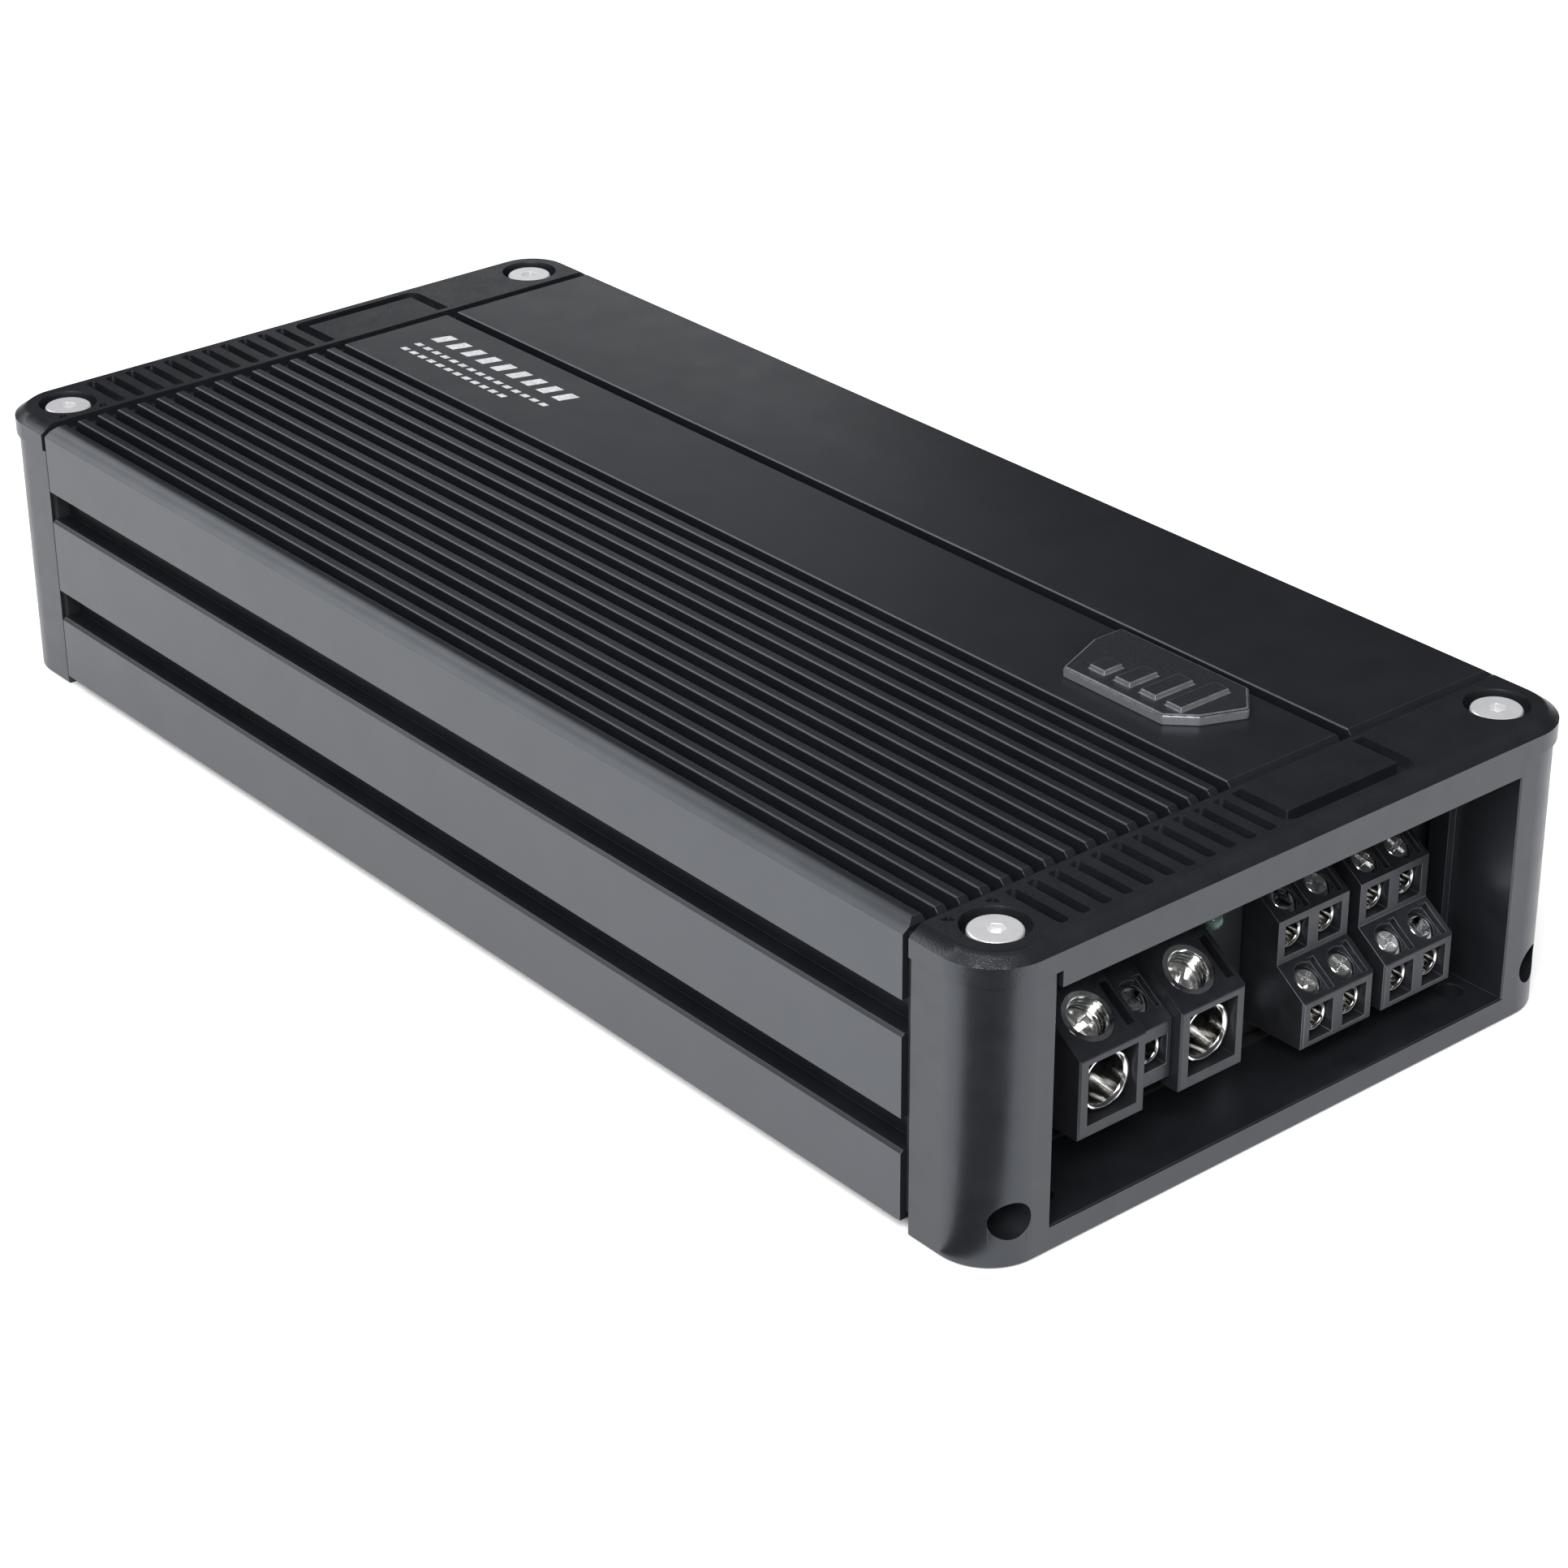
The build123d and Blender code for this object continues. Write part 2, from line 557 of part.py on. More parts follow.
def pole_screw(pole):
    """Clamp screw with a cross recess, part of the way down its threaded boss."""
    kind = pole.kind
    body = upright(0, 0, -kind.screw_depth - kind.screw_length, -kind.screw_depth,
                   kind.screw_radius)
    body = chamfer(body.faces().sort_by(Axis.Z)[-1].edges(), SCREW_TOP_CHAMFER)
    body = chamfer(body.faces().sort_by(Axis.Z)[0].edges(), SCREW_TIP_CHAMFER)
    recess = cross_recess(kind.screw_radius * RECESS_REACH, RECESS_DEPTH)
    body -= Pos(0, 0, -kind.screw_depth) * recess
    return screw_frame(pole) * Rot(0, 0, SCREW_TURN.get(pole.name, USUAL_TURN)) * body


def face_outline(face, back):
    """Side profile of a single-deck housing."""
    top = face.high + face.rise
    return [(back, face.low), (face.x, face.low), (face.x, face.high),
            (face.x - face.run, top), (back, top)]


def softened(housing, face):
    """Housing with its front corners and lower edges eased."""
    fronts = housing.faces().filter_by(Axis.X).filter_by(
        lambda f: abs(f.center().X - face.x) < 0.01)
    return chamfer(fronts.sort_by(Axis.Z)[0].edges(), HOUSING_CHAMFER)


def single_housing(pole, width):
    """Moulded housing of one power or remote pole."""
    outline = face_outline(pole.face, HOUSING_BACK)
    housing = prism_y(outline, pole.y - width / 2, pole.y + width / 2)
    housing = softened(housing, pole.face)
    for side in (-1, 1):
        y = pole.y + side * (width / 2 - FOOT_INSET)
        housing += block((HOUSING_BACK + 0.5, HOUSING_BACK + 2.0),
                         (y - FOOT_HALF, y + FOOT_HALF), (BOARD_TOP, pole.face.low))
    return housing - pole_cavity(pole)


def speaker_poles(block_name):
    """The four poles of one double-deck block."""
    centre = SPEAKER_BLOCKS[block_name]
    poles = []
    decks = (("lower", SPEAKER_LOWER, SPEAKER_POLE), ("upper", SPEAKER_UPPER, UPPER_POLE))
    for deck, face, kind in decks:
        for side, number in ((-1, 1), (1, 2)):
            name = f"{block_name}_{deck}_{number}"
            poles.append(Pole(name, face, kind, centre + side * SPEAKER_PITCH / 2))
    return poles


def speaker_housing(block_name):
    """Moulded double-deck housing with two poles on each deck."""
    low, high = SPEAKER_LOWER, SPEAKER_UPPER
    top = high.high + high.rise
    outline = [(HOUSING_BACK, low.low), (low.x, low.low), (low.x, low.high),
               (high.x, high.low), (high.x, high.high), (high.x - high.run, top),
               (HOUSING_BACK, top)]
    centre = SPEAKER_BLOCKS[block_name]
    housing = prism_y(outline, centre - SPEAKER_WIDTH / 2, centre + SPEAKER_WIDTH / 2)
    housing = softened(housing, low)
    for pole in speaker_poles(block_name):
        housing -= pole_cavity(pole)
    return housing


def all_speaker_poles():
    """The poles of both speaker blocks."""
    return [pole for name in SPEAKER_BLOCKS for pole in speaker_poles(name)]


# ---------------------------------------------------------------- end panels
def panel_blank():
    """Plain end panel that fills the extrusion's mouth."""
    gap = PANEL_CLEARANCE
    outline = [(LEDGE_EDGE - gap, PLATE_TOP + gap), (LEDGE_EDGE - gap, BOARD_BOTTOM + gap),
               (CAVITY_HALF - gap, BOARD_BOTTOM + gap),
               (CAVITY_HALF - gap, CAVITY_CEILING - CEILING_GUSSET - gap),
               (CAVITY_HALF - CEILING_GUSSET - gap, CAVITY_CEILING - gap)]
    left = [(-y, z) for y, z in reversed(outline)]
    return prism_x(outline + left, PANEL_BACK, PANEL_FRONT)


def window(y, z):
    """Cut-out through a panel between the given limits, with clearance all round."""
    gap = PANEL_CLEARANCE
    return block((PANEL_BACK - 1, PANEL_FRONT + 1), (y[0] - gap, y[1] + gap),
                 (z[0] - gap, z[1] + gap))


def terminal_panel():
    """Front panel with a window for each terminal block and the lamp."""
    panel = panel_blank()
    for name, pole in POWER_POLES.items():
        half = HOUSING_WIDTHS[name] / 2
        panel -= window((pole.y - half, pole.y + half),
                        (pole.face.low, pole.face.high + pole.face.rise))
    top = SPEAKER_UPPER.high + SPEAKER_UPPER.rise
    for centre in SPEAKER_BLOCKS.values():
        panel -= window((centre - SPEAKER_WIDTH / 2, centre + SPEAKER_WIDTH / 2),
                        (SPEAKER_LOWER.low, top))
    panel -= lengthwise(PANEL_BACK - 1, PANEL_FRONT + 1, LAMP_Y, LAMP_Z, LAMP_RADIUS + 0.15)
    return panel - lengthwise(PANEL_BACK - 1, PANEL_FRONT + 1, BRACKET_Y["terminal"],
                              BRACKET_HOLE_Z, 1.4)


def status_lamp():
    """Clear domed lamp that stands out through the panel, with its two leads."""
    base = PANEL_BACK - 3
    stem = lengthwise(base, LAMP_TIP - LAMP_RADIUS, LAMP_Y, LAMP_Z, LAMP_RADIUS)
    dome = Pos(LAMP_TIP - LAMP_RADIUS, LAMP_Y, LAMP_Z) * Sphere(LAMP_RADIUS)
    lamp = stem + dome + lengthwise(base, base + 1, LAMP_Y, LAMP_Z, LAMP_RADIUS + LAMP_FLANGE)
    for side in (-1, 1):
        y = LAMP_Y + side * LEAD_SPACING / 2
        lead = (y - LEAD_HALF, y + LEAD_HALF)
        lamp += block((base - 3, base), lead, (LAMP_Z - LEAD_HALF, LAMP_Z + LEAD_HALF))
        lamp += block((base - 3, base - 2.5), lead, (BOARD_TOP + 0.1, LAMP_Z + LEAD_HALF))
    return lamp


def bracket(y):
    """Small angle bracket that ties a panel to the board."""
    wide = (y - BRACKET_HALF, y + BRACKET_HALF)
    foot = block((PANEL_BACK - BRACKET_REACH, PANEL_BACK), wide,
                 (BOARD_TOP, BOARD_TOP + BRACKET_THICKNESS))
    stem = block((PANEL_BACK - BRACKET_THICKNESS, PANEL_BACK), wide, (BOARD_TOP, BRACKET_TOP))
    return foot + stem - lengthwise(PANEL_BACK - 2, PANEL_BACK + 1, y, BRACKET_HOLE_Z, 1.3)


def panel_screw(y):
    """Round-headed screw through a panel into its bracket."""
    place = Pos(PANEL_FRONT, y, BRACKET_HOLE_Z) * Rot(0, 90, 0)
    screw = SMALL_SCREW._replace(length=3.5)
    return place * headed_screw(screw, cross=True)


# ---------------------------------------------------------------- input end
def input_panel():
    """Rear panel with windows for the jacks, trimmers and selectors."""
    panel = panel_blank()
    panel -= window((JACK_COLUMNS[0] - 7, JACK_COLUMNS[1] + 7),
                    (JACK_ROWS[0] - 5.8, JACK_ROWS[1] + 7))
    for y in TRIMMER_Y:
        panel -= lengthwise(PANEL_BACK - 1, PANEL_FRONT + 1, y, TRIMMER_Z, 3.3)
    for y in SELECTOR_Y:
        panel -= window((y - 4.2, y + 4.2), (SELECTOR_Z - 1.9, SELECTOR_Z + 1.9))
    panel -= lengthwise(PANEL_BACK - 1, PANEL_FRONT + 1, BRACKET_Y["input"],
                        BRACKET_HOLE_Z, 1.4)
    return mirrored(panel)


def jack_places():
    """Centres (y, z) of the four line input jacks."""
    return [(y, z) for y in JACK_COLUMNS for z in JACK_ROWS]


def jack_housing():
    """Moulded block that carries the four jacks."""
    housing = block((100.0, JACK_FACE), (JACK_COLUMNS[0] - 7, JACK_COLUMNS[1] + 7),
                    (JACK_ROWS[0] - 5.8, JACK_ROWS[1] + 7))
    housing = chamfer(housing.faces().sort_by(Axis.X)[-1].edges(), 0.5)
    for y, z in jack_places():
        housing -= lengthwise(JACK_FACE - 3, JACK_FACE + 1, y, z, 5.1)
        housing += lengthwise(JACK_FACE - 4, JACK_FACE + 6.5, y, z, 3.35)
        housing -= lengthwise(JACK_FACE - 12, JACK_FACE + 9, y, z, 2.2)
    return mirrored(housing)


def jack_shells():
    """Plated outer contacts: a flanged sleeve round each jack."""
    shells = []
    for y, z in jack_places():
        sleeve = lengthwise(JACK_FACE - 3, JACK_FACE + 9.0, y, z, 4.15)
        flange = lengthwise(JACK_FACE - 3, JACK_FACE + 0.6, y, z, 5.0)
        hollow = lengthwise(JACK_FACE - 4, JACK_FACE + 10, y, z, 3.45)
        shells.append(mirrored(sleeve + flange - hollow))
    return group(shells)


def jack_contacts():
    """Split centre contacts that grip the plug's pin."""
    contacts = []
    for y, z in jack_places():
        tube = lengthwise(JACK_FACE - 11.5, JACK_FACE + 6.0, y, z, 2.1)
        tube -= lengthwise(JACK_FACE - 8, JACK_FACE + 7, y, z, 1.65)
        contacts.append(mirrored(tube))
    return group(contacts)


def trimmer_body(y):
    """Potentiometer body standing on the board behind the panel."""
    body = block((TRIMMER_FACE - 9, TRIMMER_FACE), (y - 4.9, y + 4.9),
                 (TRIMMER_Z - 5, TRIMMER_Z + 5))
    legs = [block((TRIMMER_FACE - 10.2, TRIMMER_FACE - 9), (y + side * 4 - 0.5,
                  y + side * 4 + 0.5), (BOARD_TOP + 0.1, TRIMMER_Z)) for side in (-1, 1)]
    bore = lengthwise(TRIMMER_FACE - 6, TRIMMER_FACE + 1, y, TRIMMER_Z, SPINDLE_RADIUS + 0.06)
    return mirrored(body + legs - bore)


def trimmer_shaft(y):
    """Knurled shaft end with a screwdriver slot, turned through the panel."""
    grip = lengthwise(TRIMMER_FACE + 0.3, TRIMMER_TIP, y, TRIMMER_Z, TRIMMER_RADIUS)
    grip = chamfer(grip.faces().sort_by(Axis.X)[-1].edges(), 0.35)
    notch = Pos(0, 0, TRIMMER_RADIUS) * Rot(45, 0, 0) * Box(8, 0.34, 0.34)
    for index in range(TRIMMER_TEETH):
        turn = Rot(360 / TRIMMER_TEETH * index, 0, 0)
        grip -= Pos(TRIMMER_TIP - 1.5, y, TRIMMER_Z) * turn * notch
    grip -= block((TRIMMER_TIP - 1.5, TRIMMER_TIP + 1), (y - 2.4, y + 2.4),
                  (TRIMMER_Z - 0.5, TRIMMER_Z + 0.5))
    spindle = lengthwise(TRIMMER_FACE - 5.5, TRIMMER_FACE + 0.5, y, TRIMMER_Z, SPINDLE_RADIUS)
    return mirrored(grip + spindle)


def selector_body(y):
    """Slide switch body with an open channel for its slider."""
    body = block((TRIMMER_FACE - 8, TRIMMER_FACE), (y - 6.2, y + 6.2),
                 (BOARD_TOP + 0.1, SELECTOR_Z + 4))
    channel = block((TRIMMER_FACE - 3.6, TRIMMER_FACE + 1), (y - 4.6, y + 4.6),
                    (SELECTOR_Z - 1.9, SELECTOR_Z + 1.9))
    return mirrored(body - channel)


def selector_slider(y):
    """Ridged slider that stands out through the panel."""
    slider = block((TRIMMER_FACE - 3.3, SELECTOR_TIP), (y - 1.9, y + 1.9),
                   (SELECTOR_Z - 1.6, SELECTOR_Z + 1.6))
    for offset in (-1.1, 0.0, 1.1):
        slider -= block((SELECTOR_TIP - 0.5, SELECTOR_TIP + 1),
                        (y + offset - 0.2, y + offset + 0.2), (SELECTOR_Z - 2, SELECTOR_Z + 2))
    return mirrored(slider)


# ---------------------------------------------------------------- electronics
def board_cut(x, y, radius):
    """Hole through the board."""
    return upright(x, y, BOARD_BOTTOM - 1, BOARD_TOP + 1, radius)


def main_board():
    """Circuit board on the extrusion's ledges, drilled for screws and terminal pins."""
    board = block((-BOARD_HALF_LENGTH, BOARD_HALF_LENGTH), (-BOARD_HALF_WIDTH, BOARD_HALF_WIDTH),
                  (BOARD_BOTTOM, BOARD_TOP))
    for x in BOARD_SCREW_X:
        for side in (-1, 1):
            board -= board_cut(x, side * BOARD_SCREW_Y, 1.4)
    for pole in list(POWER_POLES.values()) + all_speaker_poles():
        board -= pin(pole, PIN_HOLE_HALF, BOARD_BOTTOM - 1, BOARD_TOP + 1)
    return board


def board_screws():
    """Pan-headed screws that hold the board to the ledges."""
    screws = []
    for x in BOARD_SCREW_X:
        for side in (-1, 1):
            screw = SMALL_SCREW._replace(head_radius=2.2, length=3.3)
            screws.append(Pos(x, side * BOARD_SCREW_Y, BOARD_TOP) * headed_screw(screw, True))
    return group(screws)


def transformer_core():
    """Ferrite core: two outer limbs and a centre limb joined by yokes."""
    core = block((TRANSFORMER_X - 18, TRANSFORMER_X + 18), (-14, 14), (10.0, 38.0))
    for side in (-1, 1):
        inner = TRANSFORMER_X + side * 6
        outer = TRANSFORMER_X + side * 13
        core -= block(sorted((inner, outer)), (-15, 15), (15.0, 33.0))
    return core


def transformer_winding():
    """Bobbin and winding round the centre limb, standing on the board."""
    outer = block((TRANSFORMER_X - 12.7, TRANSFORMER_X + 12.7), (-20, 20), (15.3, 32.7))
    outer = fillet(outer.edges().filter_by(Axis.Z), 4.0)
    outer -= block((TRANSFORMER_X - 6.3, TRANSFORMER_X + 6.3), (-14.3, 14.3), (14, 34))
    feet = [block((TRANSFORMER_X - 10, TRANSFORMER_X + 10), sorted((side * 15.0, side * 19.5)),
                  (BOARD_TOP, 15.4)) for side in (-1, 1)]
    return outer + feet


def capacitors():
    """Bulk storage capacitors standing on the board."""
    cans = []
    for x in CAPACITOR_X:
        for y in CAPACITOR_Y:
            can = upright(x, y, BOARD_TOP, CAPACITOR_TOP, CAPACITOR_RADIUS)
            can = fillet(can.edges().filter_by(GeomType.CIRCLE), 0.8)
            crimp = Pos(x, y, BOARD_TOP + 3.5) * Torus(CAPACITOR_RADIUS + 0.4, 0.8)
            cans.append(can - crimp)
    return group(cans)


def inductor_places():
    """Centres of the output inductors."""
    return [(x, y) for x in INDUCTOR_X for y in INDUCTOR_Y]


def inductor_cores():
    """Toroid cores lying flat above the board."""
    rings = []
    for x, y in inductor_places():
        ring = upright(x, y, 14.0, 22.0, 11.0) - upright(x, y, 13.0, 23.0, 6.0)
        rings.append(fillet(ring.edges().filter_by(GeomType.CIRCLE), 1.0))
    return group(rings)


def inductor_windings():
    """Copper winding over each core, in two halves like the real bifilar pair."""
    coils = []
    for x, y in inductor_places():
        shell = upright(x, y, 12.2, 23.8, 12.8) - upright(x, y, 12.0, 24.0, 4.0)
        shell = fillet(shell.edges().filter_by(GeomType.CIRCLE), 1.6)
        shell -= upright(x, y, 13.9, 22.1, 11.1) - upright(x, y, 13.0, 23.0, 5.9)
        for side in (-1, 1):
            half = shell & block(sorted((x + side * 2.2, x + side * 15)), (y - 15, y + 15),
                                 (10, 26))
            leads = [block((x + side * 9 - 0.6, x + side * 9 + 0.6),
                           (y + end * 5 - 0.6, y + end * 5 + 0.6), (BOARD_TOP, 13.0))
                     for end in (-1, 1)]
            coils.append(half + leads)
    return group(coils)


def wall_pair(depth_from, depth_to, side):
    """Limits in Y measured inwards from the cavity wall on one side."""
    return sorted((side * (CAVITY_HALF - depth_from), side * (CAVITY_HALF - depth_to)))


def thermal_pads():
    """Thin insulating strips between the transistors and the extrusion."""
    return group([block((-80, 80), wall_pair(0.0, 0.4, side), (16.0, 34.0))
                  - [crosswise(x, *wall_pair(-1, 2, side), CLAMP_Z, 1.7) for x in CLAMP_SCREW_X]
                  for side in (-1, 1)])


def power_transistors():
    """Flat power transistors along both walls, their legs bent into the board."""
    devices = []
    for side in (-1, 1):
        for x in TRANSISTOR_X:
            body = block((x - TRANSISTOR_HALF, x + TRANSISTOR_HALF), wall_pair(0.4, 4.8, side),
                         (17.0, 32.0))
            legs = [block((x + leg * LEG_PITCH - 0.4, x + leg * LEG_PITCH + 0.4),
                          wall_pair(2.2, 2.9, side), (BOARD_TOP + 0.1, 17.0))
                    for leg in (-1, 0, 1)]
            devices.append(body + legs)
    return group(devices)


def clamp_bars():
    """Steel bars that press the transistors against the walls."""
    bars = []
    for side in (-1, 1):
        bar = block((-80, 80), wall_pair(4.8, 7.8, side), (21.0, 29.0))
        bar = chamfer(bar.edges().filter_by(Axis.X), 0.5)
        for x in CLAMP_SCREW_X:
            bar -= crosswise(x, *wall_pair(4, 9, side), CLAMP_Z, 1.7)
        bars.append(bar)
    return group(bars)


def clamp_screws():
    """Screws through the clamp bars into the walls."""
    screws = []
    for side in (-1, 1):
        for x in CLAMP_SCREW_X:
            place = Pos(x, side * (CAVITY_HALF - 7.8), CLAMP_Z) * Rot(side * 90, 0, 0)
            spec = SMALL_SCREW._replace(shank_radius=1.5, length=13.5)
            screws.append(place * headed_screw(spec, cross=True))
    return group(screws)


# ---------------------------------------------------------------- badge
def badge():
    """Raised badge: a slanted plate with four stepped bars, a plain level-meter motif."""
    low_x, high_x = BADGE_X
    low_y, high_y = BADGE_Y
    slant = 4.0
    plan = make_face(Polyline((low_x + slant, low_y), (high_x - slant - 3, low_y),
                              (high_x - 3, low_y + 4), (high_x, high_y - 5),
                              (high_x - 5, high_y), (low_x, high_y), (low_x, high_y - 6),
                              close=True))
    plan = fillet(plan.vertices(), 0.8)
    plate = Pos(0, 0, HEIGHT) * extrude(plan, amount=BADGE_THICKNESS)
    plate = chamfer(plate.faces().sort_by(Axis.Z)[-1].edges(), 0.35)
    bars = []
    for index in range(4):
        left = low_x + 7.0 + 5.4 * index
        tall = 4.0 + 2.1 * index
        base = low_y + 2.6
        bar = make_face(Polyline((left, base), (left + 3.4, base), (left + 3.4, base + tall),
                                 (left, base + tall), close=True))
        bars.append(Pos(0, 0, HEIGHT + BADGE_THICKNESS) * extrude(bar, amount=BADGE_RELIEF,
                                                                  taper=12))
    return plate + bars


# ---------------------------------------------------------------- sub-parts
def build_nodes():
    """Every sub-part by name."""
    front_frame = cap_frame()
    front_cover = cap_cover()
    front_gasket = gasket()
    nodes = {
        "heatsink_extrusion": heatsink_extrusion(),
        "bottom_plate": bottom_plate(),
        "bottom_plate_screws": bottom_plate_screws(),
        "front_cap_frame": front_frame,
        "rear_cap_frame": mirrored(front_frame),
        "front_cap_cover": front_cover,
        "rear_cap_cover": mirrored(front_cover),
        "cover_screws": cover_screws(),
        "frame_screws": frame_screws(),
        "front_gasket": front_gasket,
        "rear_gasket": mirrored(front_gasket),
        "terminal_panel": terminal_panel(),
        "input_panel": input_panel(),
        "panel_brackets": group([bracket(BRACKET_Y["terminal"]),
                                 mirrored(bracket(BRACKET_Y["input"]))]),
        "panel_screws": group([panel_screw(BRACKET_Y["terminal"]),
                               mirrored(panel_screw(BRACKET_Y["input"]))]),
        "badge": badge(),
        "status_lamp": status_lamp(),
        "speaker_barrels": group([pole_barrel(pole) for pole in all_speaker_poles()]),
        "main_board": main_board(),
        "board_screws": board_screws(),
        "transformer_core": transformer_core(),
        "transformer_winding": transformer_winding(),
        "bulk_capacitors": capacitors(),
        "inductor_cores": inductor_cores(),
        "inductor_windings": inductor_windings(),
        "power_transistors": power_transistors(),
        "thermal_pads": thermal_pads(),
        "clamp_bars": clamp_bars(),
        "clamp_screws": clamp_screws(),
        "jack_housing": jack_housing(),
        "jack_shells": jack_shells(),
        "jack_contacts": jack_contacts(),
        "trimmer_bodies": group([trimmer_body(y) for y in TRIMMER_Y]),
        "selector_bodies": group([selector_body(y) for y in SELECTOR_Y]),
    }
    for name, pole in POWER_POLES.items():
        nodes[f"{name}_terminal_housing"] = single_housing(pole, HOUSING_WIDTHS[name])
        nodes[f"{name}_terminal_barrel"] = pole_barrel(pole)
        nodes[f"{name}_clamp_screw"] = pole_screw(pole)
    for name in SPEAKER_BLOCKS:
        nodes[f"speaker_housing_{name}"] = speaker_housing(name)
        for pole in speaker_poles(name):
            nodes[f"speaker_screw_{pole.name}"] = pole_screw(pole)
    for index, y in enumerate(TRIMMER_Y, start=1):
        nodes[f"trimmer_shaft_{index}"] = trimmer_shaft(y)
    for index, y in enumerate(SELECTOR_Y, start=1):
        nodes[f"selector_slider_{index}"] = selector_slider(y)
    return nodes


os.makedirs("parts", exist_ok=True)
for node, shape in build_nodes().items():
    export_step(shape, f"parts/{node}.step")
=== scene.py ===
"""Looks of a four-channel car amplifier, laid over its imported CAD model.

Metres, +Z up, +X towards the wire terminals, -Y the finned side. The CAD nodes keep their
shapes. This script rounds their edges, gives every node a finish, adds the pieces that are
too fine for the CAD model, and sets up the floor, the lights and the camera.
"""
import json
import math
from collections import namedtuple

import bmesh
import bpy
from mathutils import Matrix, Vector


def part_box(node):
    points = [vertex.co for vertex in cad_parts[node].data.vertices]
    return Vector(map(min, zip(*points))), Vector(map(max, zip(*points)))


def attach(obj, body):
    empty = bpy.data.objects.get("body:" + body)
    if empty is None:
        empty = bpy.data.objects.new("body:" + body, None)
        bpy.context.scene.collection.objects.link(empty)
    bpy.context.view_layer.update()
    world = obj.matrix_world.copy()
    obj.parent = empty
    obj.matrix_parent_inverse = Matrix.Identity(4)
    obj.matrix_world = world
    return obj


MM = 0.001
MAIN_BODY = "amplifier"

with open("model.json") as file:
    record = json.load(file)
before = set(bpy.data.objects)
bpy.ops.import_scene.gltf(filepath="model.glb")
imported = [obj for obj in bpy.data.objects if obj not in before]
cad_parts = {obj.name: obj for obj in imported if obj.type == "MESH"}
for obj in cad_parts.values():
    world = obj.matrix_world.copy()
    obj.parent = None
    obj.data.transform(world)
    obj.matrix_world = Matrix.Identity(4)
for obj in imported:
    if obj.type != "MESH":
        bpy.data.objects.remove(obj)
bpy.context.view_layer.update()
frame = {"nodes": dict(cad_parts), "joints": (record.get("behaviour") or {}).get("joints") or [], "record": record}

SLOT_OF = {part["node"]: part["material_slot"] for part in frame["record"]["subparts"]}


